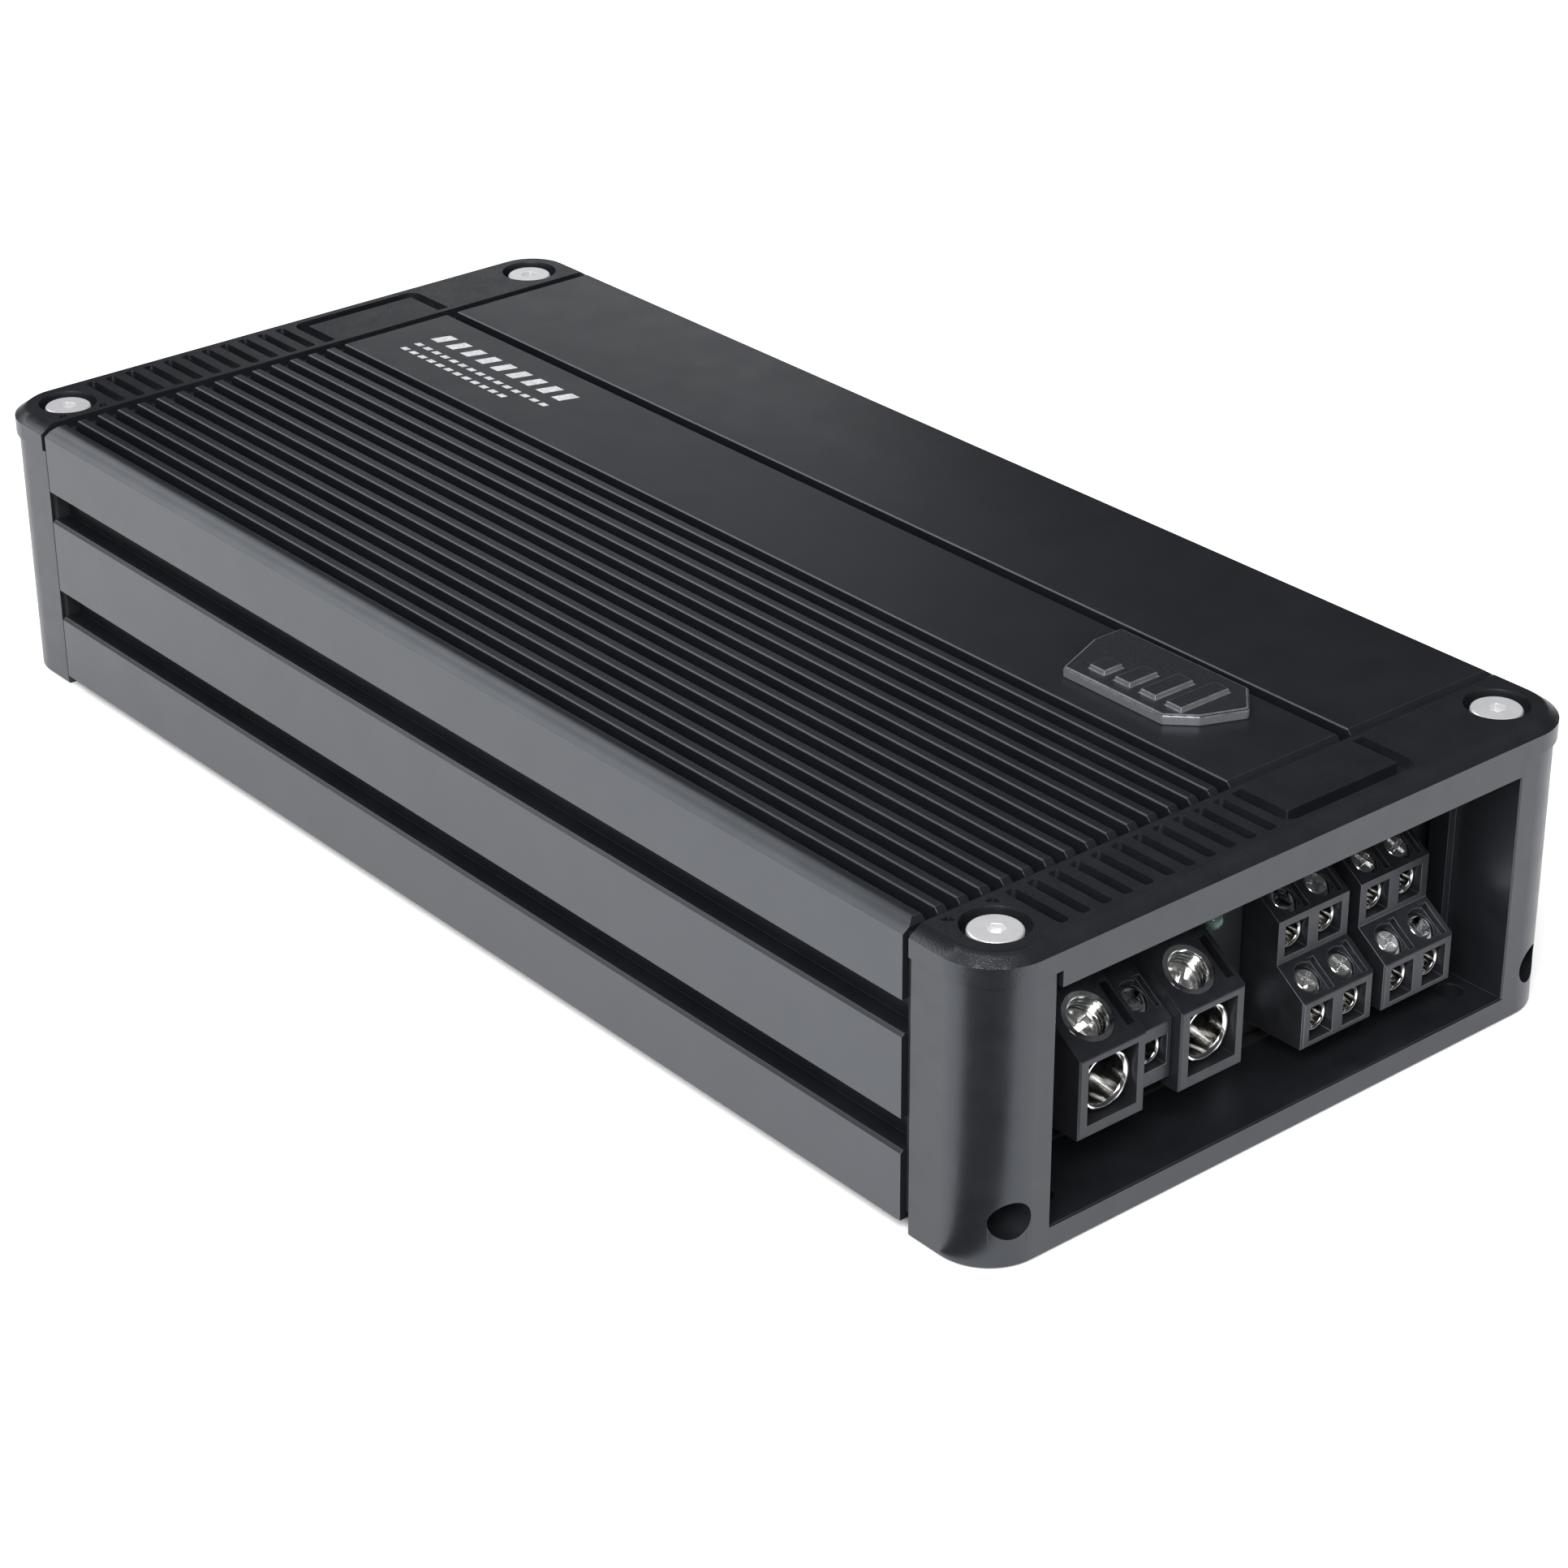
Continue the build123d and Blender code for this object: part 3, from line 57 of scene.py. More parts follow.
# ---------------------------------------------------------------- finishes
class Finish:
    """A Principled material whose textures are laid out in the model's own metres."""

    def __init__(self, name, metallic=0.0, specular=0.5, tint=(1.0, 1.0, 1.0)):
        self.material = bpy.data.materials.new(name)
        self.material.use_nodes = True
        self.tree = self.material.node_tree
        self.shader = self.tree.nodes["Principled BSDF"]
        self.shader.inputs["Metallic"].default_value = metallic
        self.shader.inputs["Specular IOR Level"].default_value = specular
        self.shader.inputs["Specular Tint"].default_value = (*tint, 1.0)
        self.place = self.tree.nodes.new("ShaderNodeTexCoord").outputs["Object"]
        self.normal = None

    def set(self, socket, value):
        self.shader.inputs[socket].default_value = value

    def link(self, source, target):
        self.tree.links.new(source, target)

    def mapped(self, stretch, turn):
        """Texture coordinates scaled along each axis, after a turn."""
        node = self.tree.nodes.new("ShaderNodeMapping")
        node.inputs["Scale"].default_value = stretch
        node.inputs["Rotation"].default_value = turn
        self.link(self.place, node.inputs["Vector"])
        return node.outputs["Vector"]

    def noise(self, size, detail=2.0, stretch=(1.0, 1.0, 1.0), turn=(0.0, 0.0, 0.0)):
        """Cloudy pattern whose features are about size millimetres across."""
        node = self.tree.nodes.new("ShaderNodeTexNoise")
        node.inputs["Scale"].default_value = 1 / (size * MM)
        node.inputs["Detail"].default_value = detail
        self.link(self.mapped(stretch, turn), node.inputs["Vector"])
        return node.outputs["Fac"]

    def cells(self, size):
        """Distance to the nearest of many scattered points, size millimetres apart."""
        node = self.tree.nodes.new("ShaderNodeTexVoronoi")
        node.inputs["Scale"].default_value = 1 / (size * MM)
        self.link(self.place, node.inputs["Vector"])
        return node.outputs["Distance"]

    def lines(self, pitch, turn=(0.0, 0.0, 0.0)):
        """Even parallel lines, pitch millimetres apart."""
        node = self.tree.nodes.new("ShaderNodeTexWave")
        # a wave of scale 1 has a band every pi / 10 of a unit
        node.inputs["Scale"].default_value = math.pi / 10 / (pitch * MM)
        self.link(self.mapped((1.0, 1.0, 1.0), turn), node.inputs["Vector"])
        return node.outputs["Fac"]

    def ranged(self, source, low, high, start=0.3, end=0.7):
        """The pattern's values from start to end, spread from low to high."""
        node = self.tree.nodes.new("ShaderNodeMapRange")
        for socket, value in (("From Min", start), ("From Max", end), ("To Min", low), ("To Max", high)):
            node.inputs[socket].default_value = value
        self.link(source, node.inputs["Value"])
        return node.outputs["Result"]

    def coloured(self, source, first, second, start=0.3, end=0.7):
        """The pattern's values from start to end, as a blend of two colours."""
        node = self.tree.nodes.new("ShaderNodeValToRGB")
        for element, position, colour in zip(node.color_ramp.elements, (start, end), (first, second)):
            element.position = position
            element.color = (*colour, 1.0)
        self.link(source, node.inputs["Fac"])
        return node.outputs["Color"]

    def colour(self, source, first, second, start=0.3, end=0.7):
        self.link(self.coloured(source, first, second, start, end), self.shader.inputs["Base Color"])

    def roughness(self, source, low, high, start=0.3, end=0.7):
        self.link(self.ranged(source, low, high, start, end), self.shader.inputs["Roughness"])

    def maths(self, operation, first, second):
        """Result of a sum on two values, each a number or another node's output."""
        node = self.tree.nodes.new("ShaderNodeMath")
        node.operation = operation
        for socket, value in zip(node.inputs, (first, second)):
            if isinstance(value, (int, float)):
                socket.default_value = value
            else:
                self.link(value, socket)
        return node.outputs["Value"]

    def parts_of(self, vector):
        """The x, y and z of a vector."""
        node = self.tree.nodes.new("ShaderNodeSeparateXYZ")
        self.link(vector, node.inputs["Vector"])
        return node.outputs["X"], node.outputs["Y"], node.outputs["Z"]

    def blended(self, amount, first, second):
        """Colour first where amount is 0 and second where it is 1; first is a node's output."""
        node = self.tree.nodes.new("ShaderNodeMix")
        node.data_type = "RGBA"
        self.link(amount, node.inputs["Factor"])
        self.link(first, node.inputs["A"])
        node.inputs["B"].default_value = (*second, 1.0)
        return node.outputs["Result"]

    def raise_by(self, source, height):
        """Relief of the pattern, height millimetres from its lowest to its highest value."""
        node = self.tree.nodes.new("ShaderNodeBump")
        node.inputs["Strength"].default_value = 1.0
        node.inputs["Distance"].default_value = height * MM
        self.link(source, node.inputs["Height"])
        if self.normal is not None:
            self.link(self.normal, node.inputs["Normal"])
        self.normal = node.outputs["Normal"]
        self.link(self.normal, self.shader.inputs["Normal"])


# Colours are linear. mottle and grain are feature sizes and relief is a height, in millimetres.
# smooth and rough are the two ends of the roughness.
Look = namedtuple("Look", "dark light mottle smooth rough grain relief metallic specular")
LOOKS = {
    "anodised_black": Look(
        dark=(0.0055, 0.0060, 0.0074), light=(0.0075, 0.0081, 0.0098), mottle=9.0,
        smooth=0.32, rough=0.36, grain=0.16, relief=0.0025, metallic=0.0, specular=0.98),
    # a lighter copy of the anodised finish for the rounded edges; its extra lightness is a painted highlight
    "anodised_lit_edge": Look(
        dark=(0.016, 0.0165, 0.019), light=(0.030, 0.031, 0.035), mottle=2.0,
        smooth=0.26, rough=0.34, grain=0.12, relief=0.002, metallic=0.0, specular=1.0),
    "cast_black": Look(
        dark=(0.0055, 0.0060, 0.0072), light=(0.0080, 0.0086, 0.0103), mottle=5.0,
        smooth=0.33, rough=0.39, grain=0.22, relief=0.005, metallic=0.0, specular=0.80),
    # a lighter copy of the cast coat for the rounded edges; its extra lightness is a painted highlight
    "cast_lit_edge": Look(
        dark=(0.020, 0.0208, 0.024), light=(0.040, 0.0415, 0.047), mottle=2.0,
        smooth=0.28, rough=0.38, grain=0.20, relief=0.006, metallic=0.0, specular=1.0),
    "sheet_black": Look(
        dark=(0.008, 0.008, 0.009), light=(0.014, 0.014, 0.016), mottle=6.0,
        smooth=0.50, rough=0.62, grain=0.30, relief=0.008, metallic=0.0, specular=0.4),
    "rubber_black": Look(
        dark=(0.006, 0.006, 0.006), light=(0.010, 0.010, 0.010), mottle=3.0,
        smooth=0.80, rough=0.92, grain=0.20, relief=0.010, metallic=0.0, specular=0.3),
    "bright_steel": Look(
        dark=(0.66, 0.66, 0.68), light=(0.71, 0.71, 0.73), mottle=2.5,
        smooth=0.34, rough=0.40, grain=0.30, relief=0.0006, metallic=0.62, specular=0.5),
    "dark_steel": Look(
        dark=(0.035, 0.035, 0.038), light=(0.060, 0.060, 0.066), mottle=1.5,
        smooth=0.30, rough=0.45, grain=0.15, relief=0.004, metallic=0.7, specular=0.5),
    "terminal_plastic": Look(
        dark=(0.007, 0.0072, 0.0085), light=(0.011, 0.0113, 0.0132), mottle=2.5,
        smooth=0.33, rough=0.44, grain=0.14, relief=0.007, metallic=0.0, specular=0.65),
    # a lighter copy of the terminal plastic for the rounded edges; its extra lightness is a painted highlight
    "terminal_lit_edge": Look(
        dark=(0.060, 0.062, 0.069), light=(0.095, 0.098, 0.108), mottle=1.5,
        smooth=0.26, rough=0.36, grain=0.12, relief=0.004, metallic=0.0, specular=0.8),
    "nickel": Look(
        dark=(0.78, 0.775, 0.76), light=(0.84, 0.835, 0.82), mottle=1.2,
        smooth=0.10, rough=0.18, grain=0.25, relief=0.0020, metallic=1.0, specular=0.5),
    "screw_nickel": Look(
        dark=(0.78, 0.78, 0.775), light=(0.85, 0.85, 0.845), mottle=1.5,
        smooth=0.12, rough=0.20, grain=0.30, relief=0.0020, metallic=0.95, specular=0.5),
    "ferrite": Look(
        dark=(0.030, 0.030, 0.031), light=(0.060, 0.060, 0.062), mottle=0.6,
        smooth=0.55, rough=0.70, grain=0.12, relief=0.020, metallic=0.0, specular=0.4),
    "can_sleeve": Look(
        dark=(0.014, 0.014, 0.022), light=(0.024, 0.024, 0.034), mottle=4.0,
        smooth=0.22, rough=0.32, grain=0.50, relief=0.006, metallic=0.0, specular=0.5),
    "device_epoxy": Look(
        dark=(0.018, 0.018, 0.018), light=(0.032, 0.032, 0.032), mottle=1.5,
        smooth=0.50, rough=0.62, grain=0.10, relief=0.008, metallic=0.0, specular=0.4),
    "pad_silicone": Look(
        dark=(0.30, 0.31, 0.33), light=(0.40, 0.41, 0.43), mottle=2.0,
        smooth=0.60, rough=0.75, grain=0.30, relief=0.020, metallic=0.0, specular=0.4),
    "gold_contact": Look(
        dark=(0.78, 0.55, 0.20), light=(0.90, 0.68, 0.30), mottle=1.5,
        smooth=0.12, rough=0.22, grain=0.20, relief=0.002, metallic=1.0, specular=0.5),
    "trimmer_plastic": Look(
        dark=(0.030, 0.030, 0.032), light=(0.048, 0.048, 0.052), mottle=1.5,
        smooth=0.38, rough=0.50, grain=0.12, relief=0.006, metallic=0.0, specular=0.5),
    "slider_plastic": Look(
        dark=(0.46, 0.46, 0.44), light=(0.58, 0.58, 0.56), mottle=1.5,
        smooth=0.38, rough=0.50, grain=0.14, relief=0.006, metallic=0.0, specular=0.5),
    "print_white": Look(
        dark=(0.30, 0.31, 0.32), light=(0.46, 0.47, 0.48), mottle=0.6,
        smooth=0.42, rough=0.55, grain=0.12, relief=0.004, metallic=0.0, specular=0.4),
    "insulator_white": Look(
        dark=(0.62, 0.62, 0.60), light=(0.74, 0.74, 0.72), mottle=1.5,
        smooth=0.30, rough=0.40, grain=0.15, relief=0.004, metallic=0.0, specular=0.5),
    "insulator_red": Look(
        dark=(0.38, 0.020, 0.016), light=(0.50, 0.034, 0.028), mottle=1.5,
        smooth=0.30, rough=0.40, grain=0.15, relief=0.004, metallic=0.0, specular=0.5),
}
COOL_SHEEN = (0.84, 0.90, 1.0)


def plain_finish(name):
    """A finish with mottled colour, uneven gloss and a fine grain."""
    look = LOOKS[name]
    tint = (1.0, 1.0, 1.0) if look.metallic else COOL_SHEEN
    finish = Finish(name, look.metallic, look.specular, tint)
    finish.colour(finish.noise(look.mottle, detail=4.0), look.dark, look.light)
    finish.roughness(finish.noise(look.mottle * 0.7, detail=5.0), look.smooth, look.rough)
    finish.raise_by(finish.noise(look.grain, detail=3.0), look.relief)
    return finish


# Distance from the middle plane, and height, in millimetres. A surface's reflection is dimmed where both are below
# the first value, a painted shade in the grooves, and keeps its full strength where either is above the second.
GROOVE_HALF_WIDTH = (58.5, 59.3)
GROOVE_TOP = (48.8, 49.6)
GROOVE_SHADE_SPECULAR = 0.12


def anodised(name):
    """Anodised extrusion: faint die lines run along it, and its grooves reflect less, a painted shade."""
    finish = plain_finish(name)
    finish.raise_by(finish.noise(0.35, detail=3.0, stretch=(0.01, 1.0, 1.0)), 0.004)
    _, across, height = finish.parts_of(finish.place)
    inward = finish.ranged(finish.maths("ABSOLUTE", across, 0.0), 1.0, 0.0,
                           GROOVE_HALF_WIDTH[0] * MM, GROOVE_HALF_WIDTH[1] * MM)
    below = finish.ranged(height, 1.0, 0.0, GROOVE_TOP[0] * MM, GROOVE_TOP[1] * MM)
    # painted shade: the reflection is dimmed inside the grooves
    painted_groove_shade = finish.maths("MULTIPLY", inward, below)
    gloss = finish.ranged(painted_groove_shade, LOOKS[name].specular, GROOVE_SHADE_SPECULAR, 0.0, 1.0)
    finish.link(gloss, finish.shader.inputs["Specular IOR Level"])
    return finish


# height in millimetres over which the pimples grow to their full size
COAT_BOLD_ABOVE = (45.0, 48.0)


def cast(name):
    """Textured coat: a fine grain with glossy pimples, bolder on the covers than on the frames."""
    finish = plain_finish(name)
    height = finish.parts_of(finish.place)[2]
    boldness = finish.ranged(height, 0.25, 1.0, COAT_BOLD_ABOVE[0] * MM, COAT_BOLD_ABOVE[1] * MM)
    pimples = finish.ranged(finish.cells(0.34), 1.0, 0.0, 0.0, 0.45)
    finish.raise_by(finish.maths("MULTIPLY", pimples, boldness), 0.024)
    return finish


def board_laminate(name):
    """Solder mask over copper: lighter bands where the tracks run."""
    finish = Finish(name, specular=0.5)
    finish.colour(finish.noise(7.0, detail=1.0, stretch=(0.35, 1.0, 1.0)), (0.008, 0.050, 0.026),
                  (0.020, 0.110, 0.055), 0.49, 0.51)
    finish.roughness(finish.noise(2.0), 0.22, 0.34)
    finish.raise_by(finish.noise(0.4), 0.01)
    return finish


def copper_wire(name):
    """Enamelled copper: bright wire with a line between the turns."""
    finish = Finish(name, metallic=1.0)
    finish.colour(finish.noise(1.5), (0.55, 0.22, 0.08), (0.78, 0.36, 0.15))
    finish.roughness(finish.noise(0.8), 0.20, 0.34)
    finish.raise_by(finish.lines(0.9, turn=(0.0, 0.0, math.radians(35))), 0.08)
    return finish


# The upward part of a surface's direction, 1 when it faces straight up: the resin is pale below the first value
# and dark above the second. The pale sideways faces are painted light, a glow standing in for light carried
# through the resin's sides.
PAINTED_GLOW_BELOW = 0.2
DARK_ABOVE = 0.6


def badge_resin(name):
    """Smoked resin with a fine diagonal hatch under its gloss, and sideways faces painted pale as a glow of
    carried light.
    """
    finish = Finish(name, specular=0.6, tint=COOL_SHEEN)
    hatch = finish.lines(0.42, turn=(0.0, 0.0, math.radians(58)))
    face = finish.coloured(hatch, (0.006, 0.006, 0.007), (0.020, 0.0205, 0.023), 0.25, 0.75)
    coordinates = finish.tree.nodes.new("ShaderNodeTexCoord")
    upward = finish.parts_of(coordinates.outputs["Normal"])[2]
    # painted light: faces turned sideways become pale grey, a painted glow of light carried through the resin
    side = finish.ranged(upward, 1.0, 0.0, PAINTED_GLOW_BELOW, DARK_ABOVE)
    shown = finish.blended(side, face, (0.085, 0.087, 0.095))
    finish.link(shown, finish.shader.inputs["Base Color"])
    finish.roughness(finish.noise(1.2, detail=4.0), 0.22, 0.34)
    finish.raise_by(hatch, 0.012)
    finish.set("Coat Weight", 0.2)
    finish.set("Coat Roughness", 0.18)
    return finish


def badge_lit_edge(name):
    """The resin's cut edges: a paler copy of the resin, a painted highlight standing in for the light they carry.
    """
    finish = Finish(name, specular=0.7, tint=COOL_SHEEN)
    finish.colour(finish.noise(1.5, detail=4.0), (0.055, 0.056, 0.062), (0.10, 0.103, 0.112))
    finish.roughness(finish.noise(0.6), 0.16, 0.28)
    return finish


def lamp_lens(name):
    """Clear lamp dome with a faint green tint and slightly uneven moulding."""
    finish = Finish(name, specular=0.5)
    finish.colour(finish.noise(1.2), (0.16, 0.30, 0.24), (0.26, 0.42, 0.34))
    finish.roughness(finish.noise(0.8), 0.05, 0.14)
    finish.raise_by(finish.noise(1.0), 0.01)
    finish.set("Transmission Weight", 0.75)
    finish.set("IOR", 1.5)
    return finish


SPECIAL = {
    "anodised_black": anodised,
    "anodised_lit_edge": anodised,
    "cast_black": cast,
    "board_laminate": board_laminate,
    "copper_wire": copper_wire,
    "badge_resin": badge_resin,
    "badge_lit_edge": badge_lit_edge,
    "lamp_lens": lamp_lens,
}
made_finishes = {}


def finish_named(name):
    """The finish of that name, made the first time it is asked for."""
    if name not in made_finishes:
        made_finishes[name] = SPECIAL.get(name, plain_finish)(name).material
    return made_finishes[name]


# ---------------------------------------------------------------- rounded edges
# Rounding of each slot's edges: radius in millimetres, and the finish that shows on them. Where that finish is a
# lighter copy of the slot's own (anodised, cast, terminal and badge edges), its extra lightness is a painted
# highlight along the rounding.
Edge = namedtuple("Edge", "radius finish")
EDGES = {
    "anodised_black": Edge(0.22, "anodised_lit_edge"),
    "cast_black": Edge(0.30, "cast_lit_edge"),
    "sheet_black": Edge(0.20, "sheet_black"),
    "terminal_plastic": Edge(0.16, "terminal_lit_edge"),
    "badge_resin": Edge(0.16, "badge_lit_edge"),
    "bright_steel": Edge(0.10, "bright_steel"),
    "screw_nickel": Edge(0.08, "screw_nickel"),
    "nickel": Edge(0.06, "nickel"),
}
SHARPEST_SMOOTH_TURN = math.radians(36)
FLAT_WITHIN = math.radians(0.2)
SAME_POINT = 1e-6


def soften(piece, radius, edge_slot):
    """Rounds the sharp edges of a piece and gives the rounding its own material, for some slots a lighter copy
    that paints a highlight along the edge.
    """
    joined = piece.modifiers.new("joined", "WELD")
    joined.merge_threshold = SAME_POINT
    flat = piece.modifiers.new("flat", "DECIMATE")
    flat.decimate_type = "DISSOLVE"
    flat.angle_limit = FLAT_WITHIN
    rounding = piece.modifiers.new("rounding", "BEVEL")
    rounding.width = radius * MM
    rounding.segments = 2
    rounding.limit_method = "ANGLE"
    rounding.angle_limit = SHARPEST_SMOOTH_TURN
    rounding.material = edge_slot
    shading = piece.modifiers.new("shading", "WEIGHTED_NORMAL")
    shading.keep_sharp = False


def dress(piece, slot):
    """Gives a CAD node its slot's finish, with rounded edges where the slot has them."""
    piece.data.materials.clear()
    piece.data.materials.append(finish_named(slot))
    edge = EDGES.get(slot)
    if edge:
        piece.data.materials.append(finish_named(edge.finish))
        soften(piece, edge.radius, 1)


# ---------------------------------------------------------------- pieces too fine for the CAD model
def add_piece(name, shape, look):
    """Turns a shape into a piece that rides on the main body."""
    mesh = bpy.data.meshes.new(name)
    bmesh.ops.recalc_face_normals(shape, faces=shape.faces)
    shape.to_mesh(mesh)
    shape.free()
    piece = bpy.data.objects.new(name, mesh)
    bpy.context.scene.collection.objects.link(piece)
    mesh.materials.append(finish_named(look))
    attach(piece, MAIN_BODY)
    return piece


def add_prism(shape, outline, low, high):
    """Upright prism over a closed outline of (x, y) points, all in metres."""
    bottom = [shape.verts.new((x, y, low)) for x, y in outline]
    top = [shape.verts.new((x, y, high)) for x, y in outline]
    shape.faces.new(reversed(bottom))
    shape.faces.new(top)
    count = len(outline)
    for index in range(count):
        after = (index + 1) % count
        shape.faces.new((bottom[index], bottom[after], top[after], top[index]))


# Rows of plain slanted dashes on the top panel: start and end in x, low and high in y, and the
# length of a dash with its gap, all in millimetres.
DashRow = namedtuple("DashRow", "start end low high dash gap")
DASH_ROWS = (
    DashRow(-104.0, -64.0, 15.7, 19.4, 2.4, 2.2),
    DashRow(-104.0, -63.0, 12.0, 13.1, 1.6, 1.1),
    DashRow(-104.0, -72.0, 8.9, 10.0, 1.6, 1.1),
)
# millimetres above the panel, and below its surface so that no gap shows
PRINT_THICKNESS = 0.02
PRINT_SINK = 0.005
PRINT_SLANT = 0.3


def printed_dashes():
    """Rows of generic dashes, printed where the top panel carries its marking."""
    panel_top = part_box("heatsink_extrusion")[1][2]
    shape = bmesh.new()
    for row in DASH_ROWS:
        lean = PRINT_SLANT * (row.high - row.low)
        left = row.start
        while left + row.dash <= row.end:
            right = left + row.dash
            outline = [(left, row.low), (right, row.low),
                       (right + lean, row.high), (left + lean, row.high)]
            add_prism(shape, [(x * MM, y * MM) for x, y in outline],
                      panel_top - PRINT_SINK * MM, panel_top + PRINT_THICKNESS * MM)
            left = right + row.gap
    add_piece("printed_dashes", shape, "print_white")


# The thread ridge, in millimetres: radius at the wall and at the crest, half its width at the
# wall, its pitch and the depth of its start; then its turns, the steps of one turn, half the
# width of the crest in millimetres, and the steps over which each end rises from the wall.
THREAD_WALL = 3.29
THREAD_CREST = 2.92
THREAD_HALF = 0.30
THREAD_PITCH = 0.75
THREAD_START = 0.75
THREAD_TURNS = 2.6
THREAD_STEPS = 48
THREAD_FLAT = 0.05
THREAD_FADE_STEPS = 8


def thread_ring(joint):
    """Ridge that winds down the inside of a power terminal's boss, above its clamp screw."""
    axis = Vector(joint["axis"]).normalized()
    side = axis.orthogonal().normalized()
    other = axis.cross(side)
    middle = Vector(joint["pos_m"])
    shape = bmesh.new()
    steps = round(THREAD_STEPS * THREAD_TURNS)
    rows = []
    for step in range(steps + 1):
        angle = 2 * math.pi * step / THREAD_STEPS
        fade = min(1.0, step / THREAD_FADE_STEPS, (steps - step) / THREAD_FADE_STEPS)
        outward = math.cos(angle) * side + math.sin(angle) * other
        depth = THREAD_START + THREAD_PITCH * step / THREAD_STEPS
        crest = THREAD_WALL - (THREAD_WALL - THREAD_CREST) * fade
        profile = ((THREAD_WALL, -THREAD_HALF), (crest, -THREAD_FLAT), (crest, THREAD_FLAT),
                   (THREAD_WALL, THREAD_HALF))
        rows.append([shape.verts.new(middle + (outward * radius - axis * (depth + rise)) * MM)
                     for radius, rise in profile])
    for first, second in zip(rows, rows[1:]):
        for index in range(len(first)):
            after = (index + 1) % len(first)
            shape.faces.new((first[index], first[after], second[after], second[index]))
    shape.faces.new(rows[0])
    shape.faces.new(reversed(rows[-1]))
    piece = add_piece(joint["name"].replace("_screw_turn", "_boss_thread"), shape, "nickel")
    for face in piece.data.polygons:
        face.use_smooth = True
    piece.data.set_sharp_from_angle(angle=SHARPEST_SMOOTH_TURN)


# The coloured ring of a line input, in millimetres. It starts RING_START along the mount's axis.
RING_INNER = 2.25
RING_OUTER = 3.30
RING_START = 1.72
RING_THICKNESS = 0.55
RING_ROUNDING = 0.12
RING_STEPS = 64


def insulator_ring(mount, look):
    """Coloured ring on the end of a line input's insulator."""
    axis = Vector(mount["axis"]).normalized()
    side = axis.orthogonal().normalized()
    other = axis.cross(side)
    middle = Vector(mount["pos_m"])
    low = RING_START
    high = RING_START + RING_THICKNESS
    profile = ((RING_INNER, low), (RING_INNER, high - RING_ROUNDING), (RING_INNER + RING_ROUNDING, high),
               (RING_OUTER - RING_ROUNDING, high), (RING_OUTER, high - RING_ROUNDING), (RING_OUTER, low))
    shape = bmesh.new()
    rows = []
    for step in range(RING_STEPS):
        angle = 2 * math.pi * step / RING_STEPS
        outward = math.cos(angle) * side + math.sin(angle) * other
        rows.append([shape.verts.new(middle + (outward * radius + axis * along) * MM)
                     for radius, along in profile])
    for index, first in enumerate(rows):
        second = rows[(index + 1) % RING_STEPS]
        for corner in range(len(profile)):
            after = (corner + 1) % len(profile)
            shape.faces.new((first[corner], first[after], second[after], second[corner]))
    add_piece(mount["name"] + "_ring", shape, look)


# ---------------------------------------------------------------- floor, lights, camera
FLOOR_HALF = 3.0
FLOOR_STEPS = 12


def make_floor():
    """Pale floor, many times wider than the amplifier."""
    mesh = bpy.data.meshes.new("floor")
    shape = bmesh.new()
    bmesh.ops.create_grid(shape, x_segments=FLOOR_STEPS, y_segments=FLOOR_STEPS, size=FLOOR_HALF)
    shape.to_mesh(mesh)
    shape.free()
    floor = bpy.data.objects.new("floor", mesh)
    bpy.context.scene.collection.objects.link(floor)
    finish = Finish("floor_paint", specular=0.2)
    finish.colour(finish.noise(400.0), (0.80, 0.80, 0.80), (0.84, 0.84, 0.84))
    finish.roughness(finish.noise(60.0), 0.70, 0.80)
    mesh.materials.append(finish.material)


SURROUNDINGS_SEEN = 1.0
SURROUNDINGS_ON_MATT = 1.0
SURROUNDINGS_IN_GLOSS = 0.05


def make_world():
    """Surroundings that are white to the camera and to matt surfaces, and dim in reflections."""
    world = bpy.data.worlds.new("studio")
    bpy.context.scene.world = world
    world.use_nodes = True
    world.cycles.sampling_method = "NONE"
    nodes = world.node_tree.nodes
    links = world.node_tree.links
    nodes.clear()

    def background(strength, colour):
        node = nodes.new("ShaderNodeBackground")
        node.inputs["Color"].default_value = (*colour, 1.0)
        node.inputs["Strength"].default_value = strength
        return node.outputs["Background"]

    path = nodes.new("ShaderNodeLightPath")
    indirect = nodes.new("ShaderNodeMixShader")
    links.new(path.outputs["Is Diffuse Ray"], indirect.inputs["Fac"])
    links.new(background(SURROUNDINGS_IN_GLOSS, (0.86, 0.93, 1.0)), indirect.inputs[1])
    links.new(background(SURROUNDINGS_ON_MATT, (1.0, 1.0, 1.0)), indirect.inputs[2])
    choice = nodes.new("ShaderNodeMixShader")
    links.new(path.outputs["Is Camera Ray"], choice.inputs["Fac"])
    links.new(indirect.outputs["Shader"], choice.inputs[1])
    links.new(background(SURROUNDINGS_SEEN, (1.0, 1.0, 1.0)), choice.inputs[2])
    output = nodes.new("ShaderNodeOutputWorld")
    links.new(choice.outputs["Shader"], output.inputs["Surface"])


# Places and sizes in metres, power in watts, spread in degrees.
Softbox = namedtuple("Softbox", "name place aim wide high power spread")
SOFTBOXES = (
    Softbox("key", (-0.75, -0.30, 0.72), (0.0, 0.0, 0.03), 0.60, 0.60, 2.8, 180),
    Softbox("fill", (0.62, -0.75, 0.85), (0.0, 0.0, 0.0), 0.80, 0.80, 25.0, 180),
    Softbox("back", (-0.62, 0.44, 0.26), (-0.05, 0.03, 0.05), 0.25, 0.15, 0.10, 180),
    Softbox("far_floor", (0.10, 0.95, 0.85), (-0.15, 1.10, 0.0), 1.60, 0.60, 4.0, 100),
)


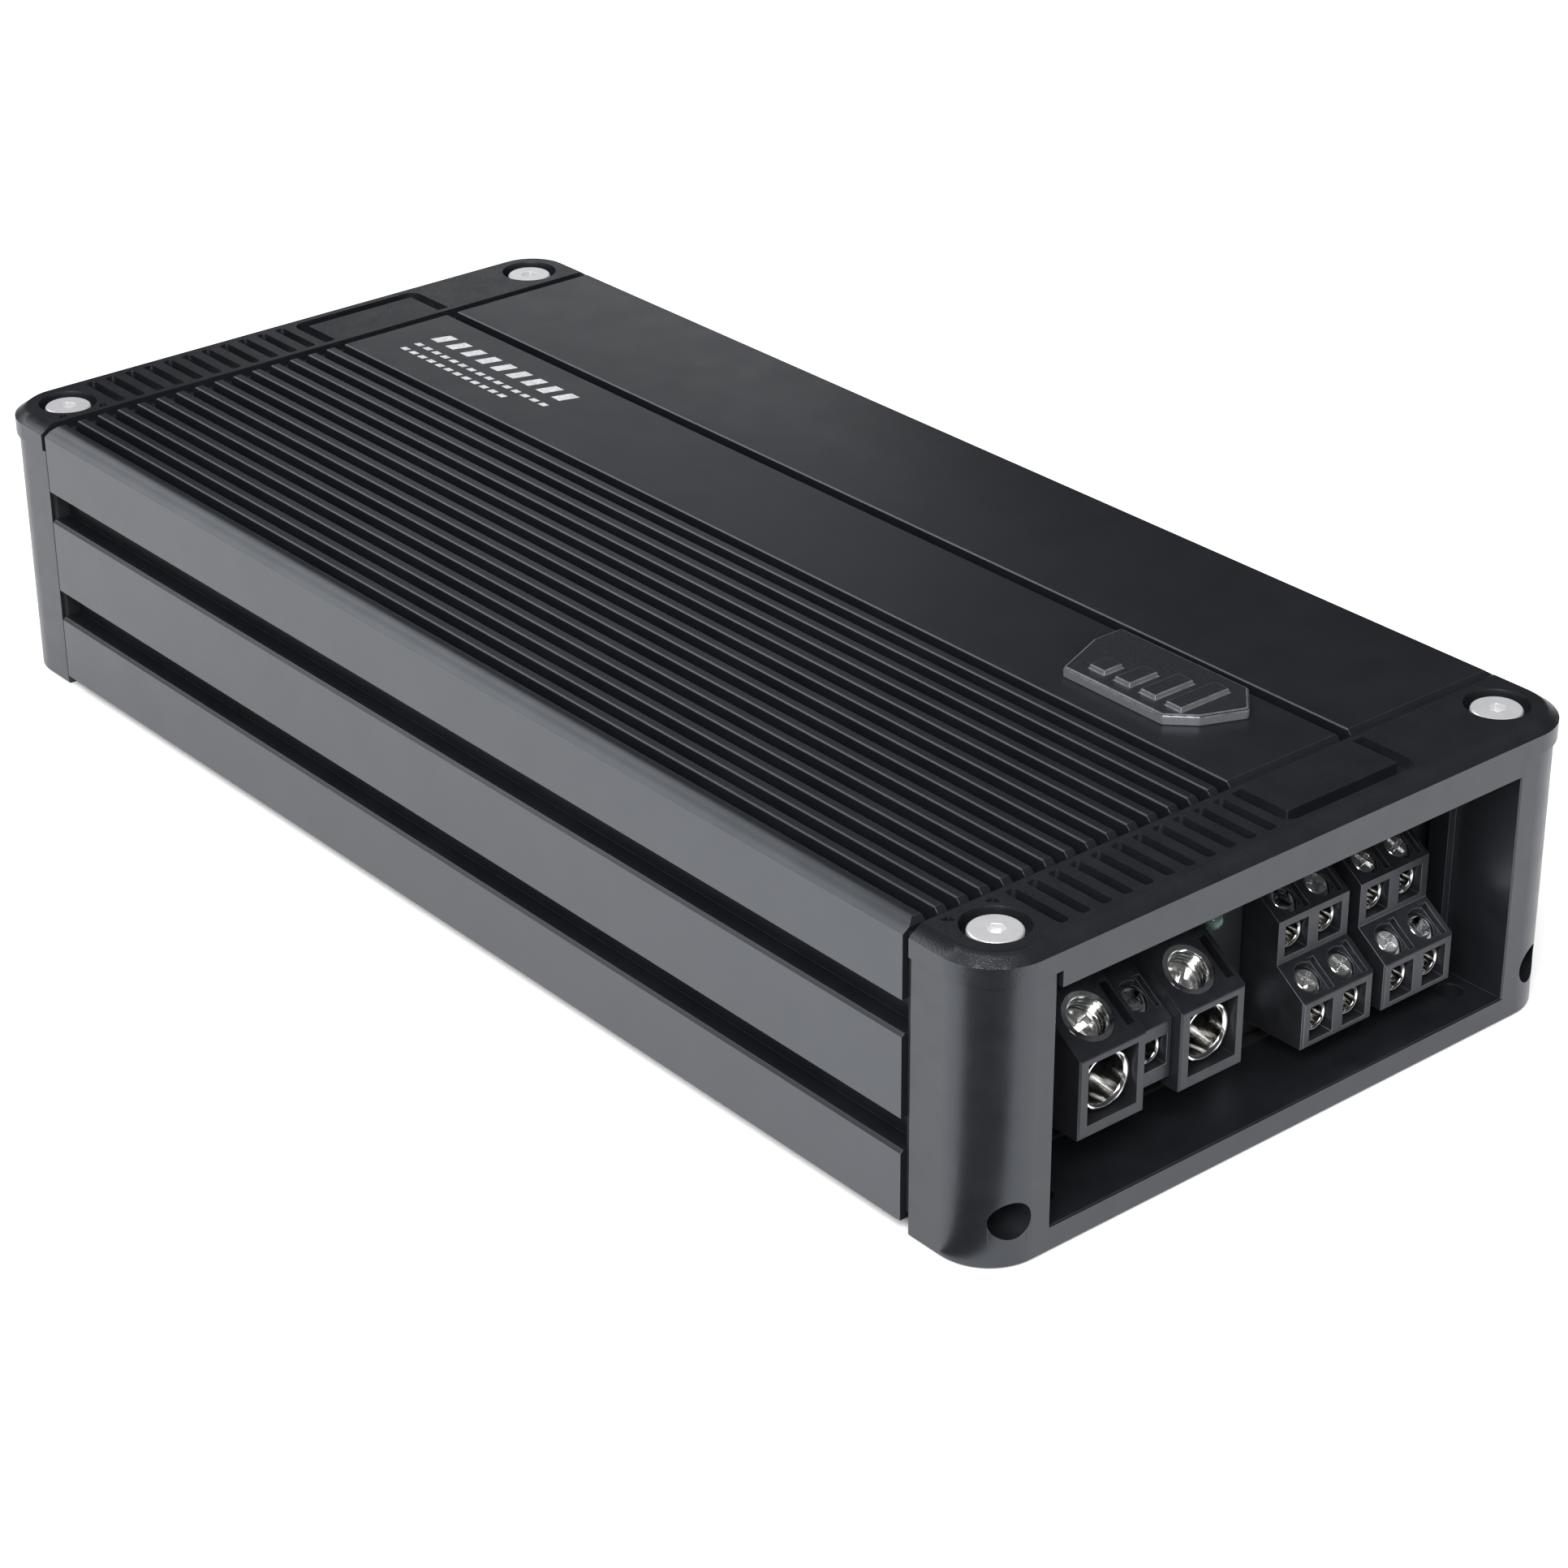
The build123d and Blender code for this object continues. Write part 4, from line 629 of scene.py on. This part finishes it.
def make_softbox(box):
    """Rectangular soft light that faces the place it is aimed at."""
    data = bpy.data.lights.new(box.name, "AREA")
    data.shape = "RECTANGLE"
    data.size = box.wide
    data.size_y = box.high
    data.energy = box.power
    data.spread = math.radians(box.spread)
    lamp = bpy.data.objects.new(box.name, data)
    lamp.location = box.place
    lamp.rotation_euler = (Vector(box.aim) - Vector(box.place)).to_track_quat("-Z", "Y").to_euler()
    lamp.visible_camera = False
    bpy.context.scene.collection.objects.link(lamp)


# where the corner of the card that points to the amplifier lies, and the length of its sides,
# in metres
FLAG_CORNER = Vector((0.120, -0.060, 0.0005))
FLAG_REACH = 0.45


def make_flag():
    """Dark card on the floor before the rounded front corner, seen only in reflections."""
    mesh = bpy.data.meshes.new("flag")
    shape = bmesh.new()
    bmesh.ops.create_grid(shape, x_segments=1, y_segments=1, size=FLAG_REACH / 2)
    shape.to_mesh(mesh)
    shape.free()
    flag = bpy.data.objects.new("flag", mesh)
    flag.location = FLAG_CORNER + Vector((FLAG_REACH / 2, -FLAG_REACH / 2, 0.0))
    bpy.context.scene.collection.objects.link(flag)
    mesh.materials.append(finish_named("rubber_black"))
    flag.visible_camera = False
    flag.visible_diffuse = False
    flag.visible_shadow = False


CAMERA_AZIMUTH = math.radians(50.375)
CAMERA_ELEVATION = math.radians(27.903)
CAMERA_ROLL = math.radians(-0.358)
CAMERA_DISTANCE = 0.637566
CAMERA_TARGET = Vector((0.014126, 0.001223, 0.010431))
CAMERA_LENS = 88.76


def make_camera():
    """Camera above the corner between the finned side and the terminal end."""
    back = Vector((math.sin(CAMERA_AZIMUTH) * math.cos(CAMERA_ELEVATION),
                   -math.cos(CAMERA_AZIMUTH) * math.cos(CAMERA_ELEVATION), math.sin(CAMERA_ELEVATION)))
    level = Vector((math.cos(CAMERA_AZIMUTH), math.sin(CAMERA_AZIMUTH), 0.0))
    rise = back.cross(level)
    right = math.cos(CAMERA_ROLL) * level + math.sin(CAMERA_ROLL) * rise
    up = math.cos(CAMERA_ROLL) * rise - math.sin(CAMERA_ROLL) * level
    data = bpy.data.cameras.new("camera")
    data.lens = CAMERA_LENS
    data.clip_start = 0.01
    data.clip_end = 20.0
    camera = bpy.data.objects.new("camera", data)
    turn = Matrix((right, up, back)).transposed().to_4x4()
    camera.matrix_world = Matrix.Translation(CAMERA_TARGET + CAMERA_DISTANCE * back) @ turn
    bpy.context.scene.collection.objects.link(camera)
    bpy.context.scene.camera = camera


# ---------------------------------------------------------------- the scene
make_camera()
make_floor()
make_flag()
make_world()
for softbox in SOFTBOXES:
    make_softbox(softbox)
bpy.context.scene.view_settings.view_transform = "Standard"

for node, piece in frame["nodes"].items():
    dress(piece, SLOT_OF[node])

printed_dashes()
for joint in frame["joints"]:
    if joint["name"] in ("battery_screw_turn", "ground_screw_turn"):
        thread_ring(joint)
line_inputs = [mount for mount in frame["record"]["mounts"] if mount["name"].startswith("line_input")]
upper_height = max(mount["pos_m"][2] for mount in line_inputs)
for mount in line_inputs:
    is_upper = mount["pos_m"][2] == upper_height
    insulator_ring(mount, "insulator_white" if is_upper else "insulator_red")
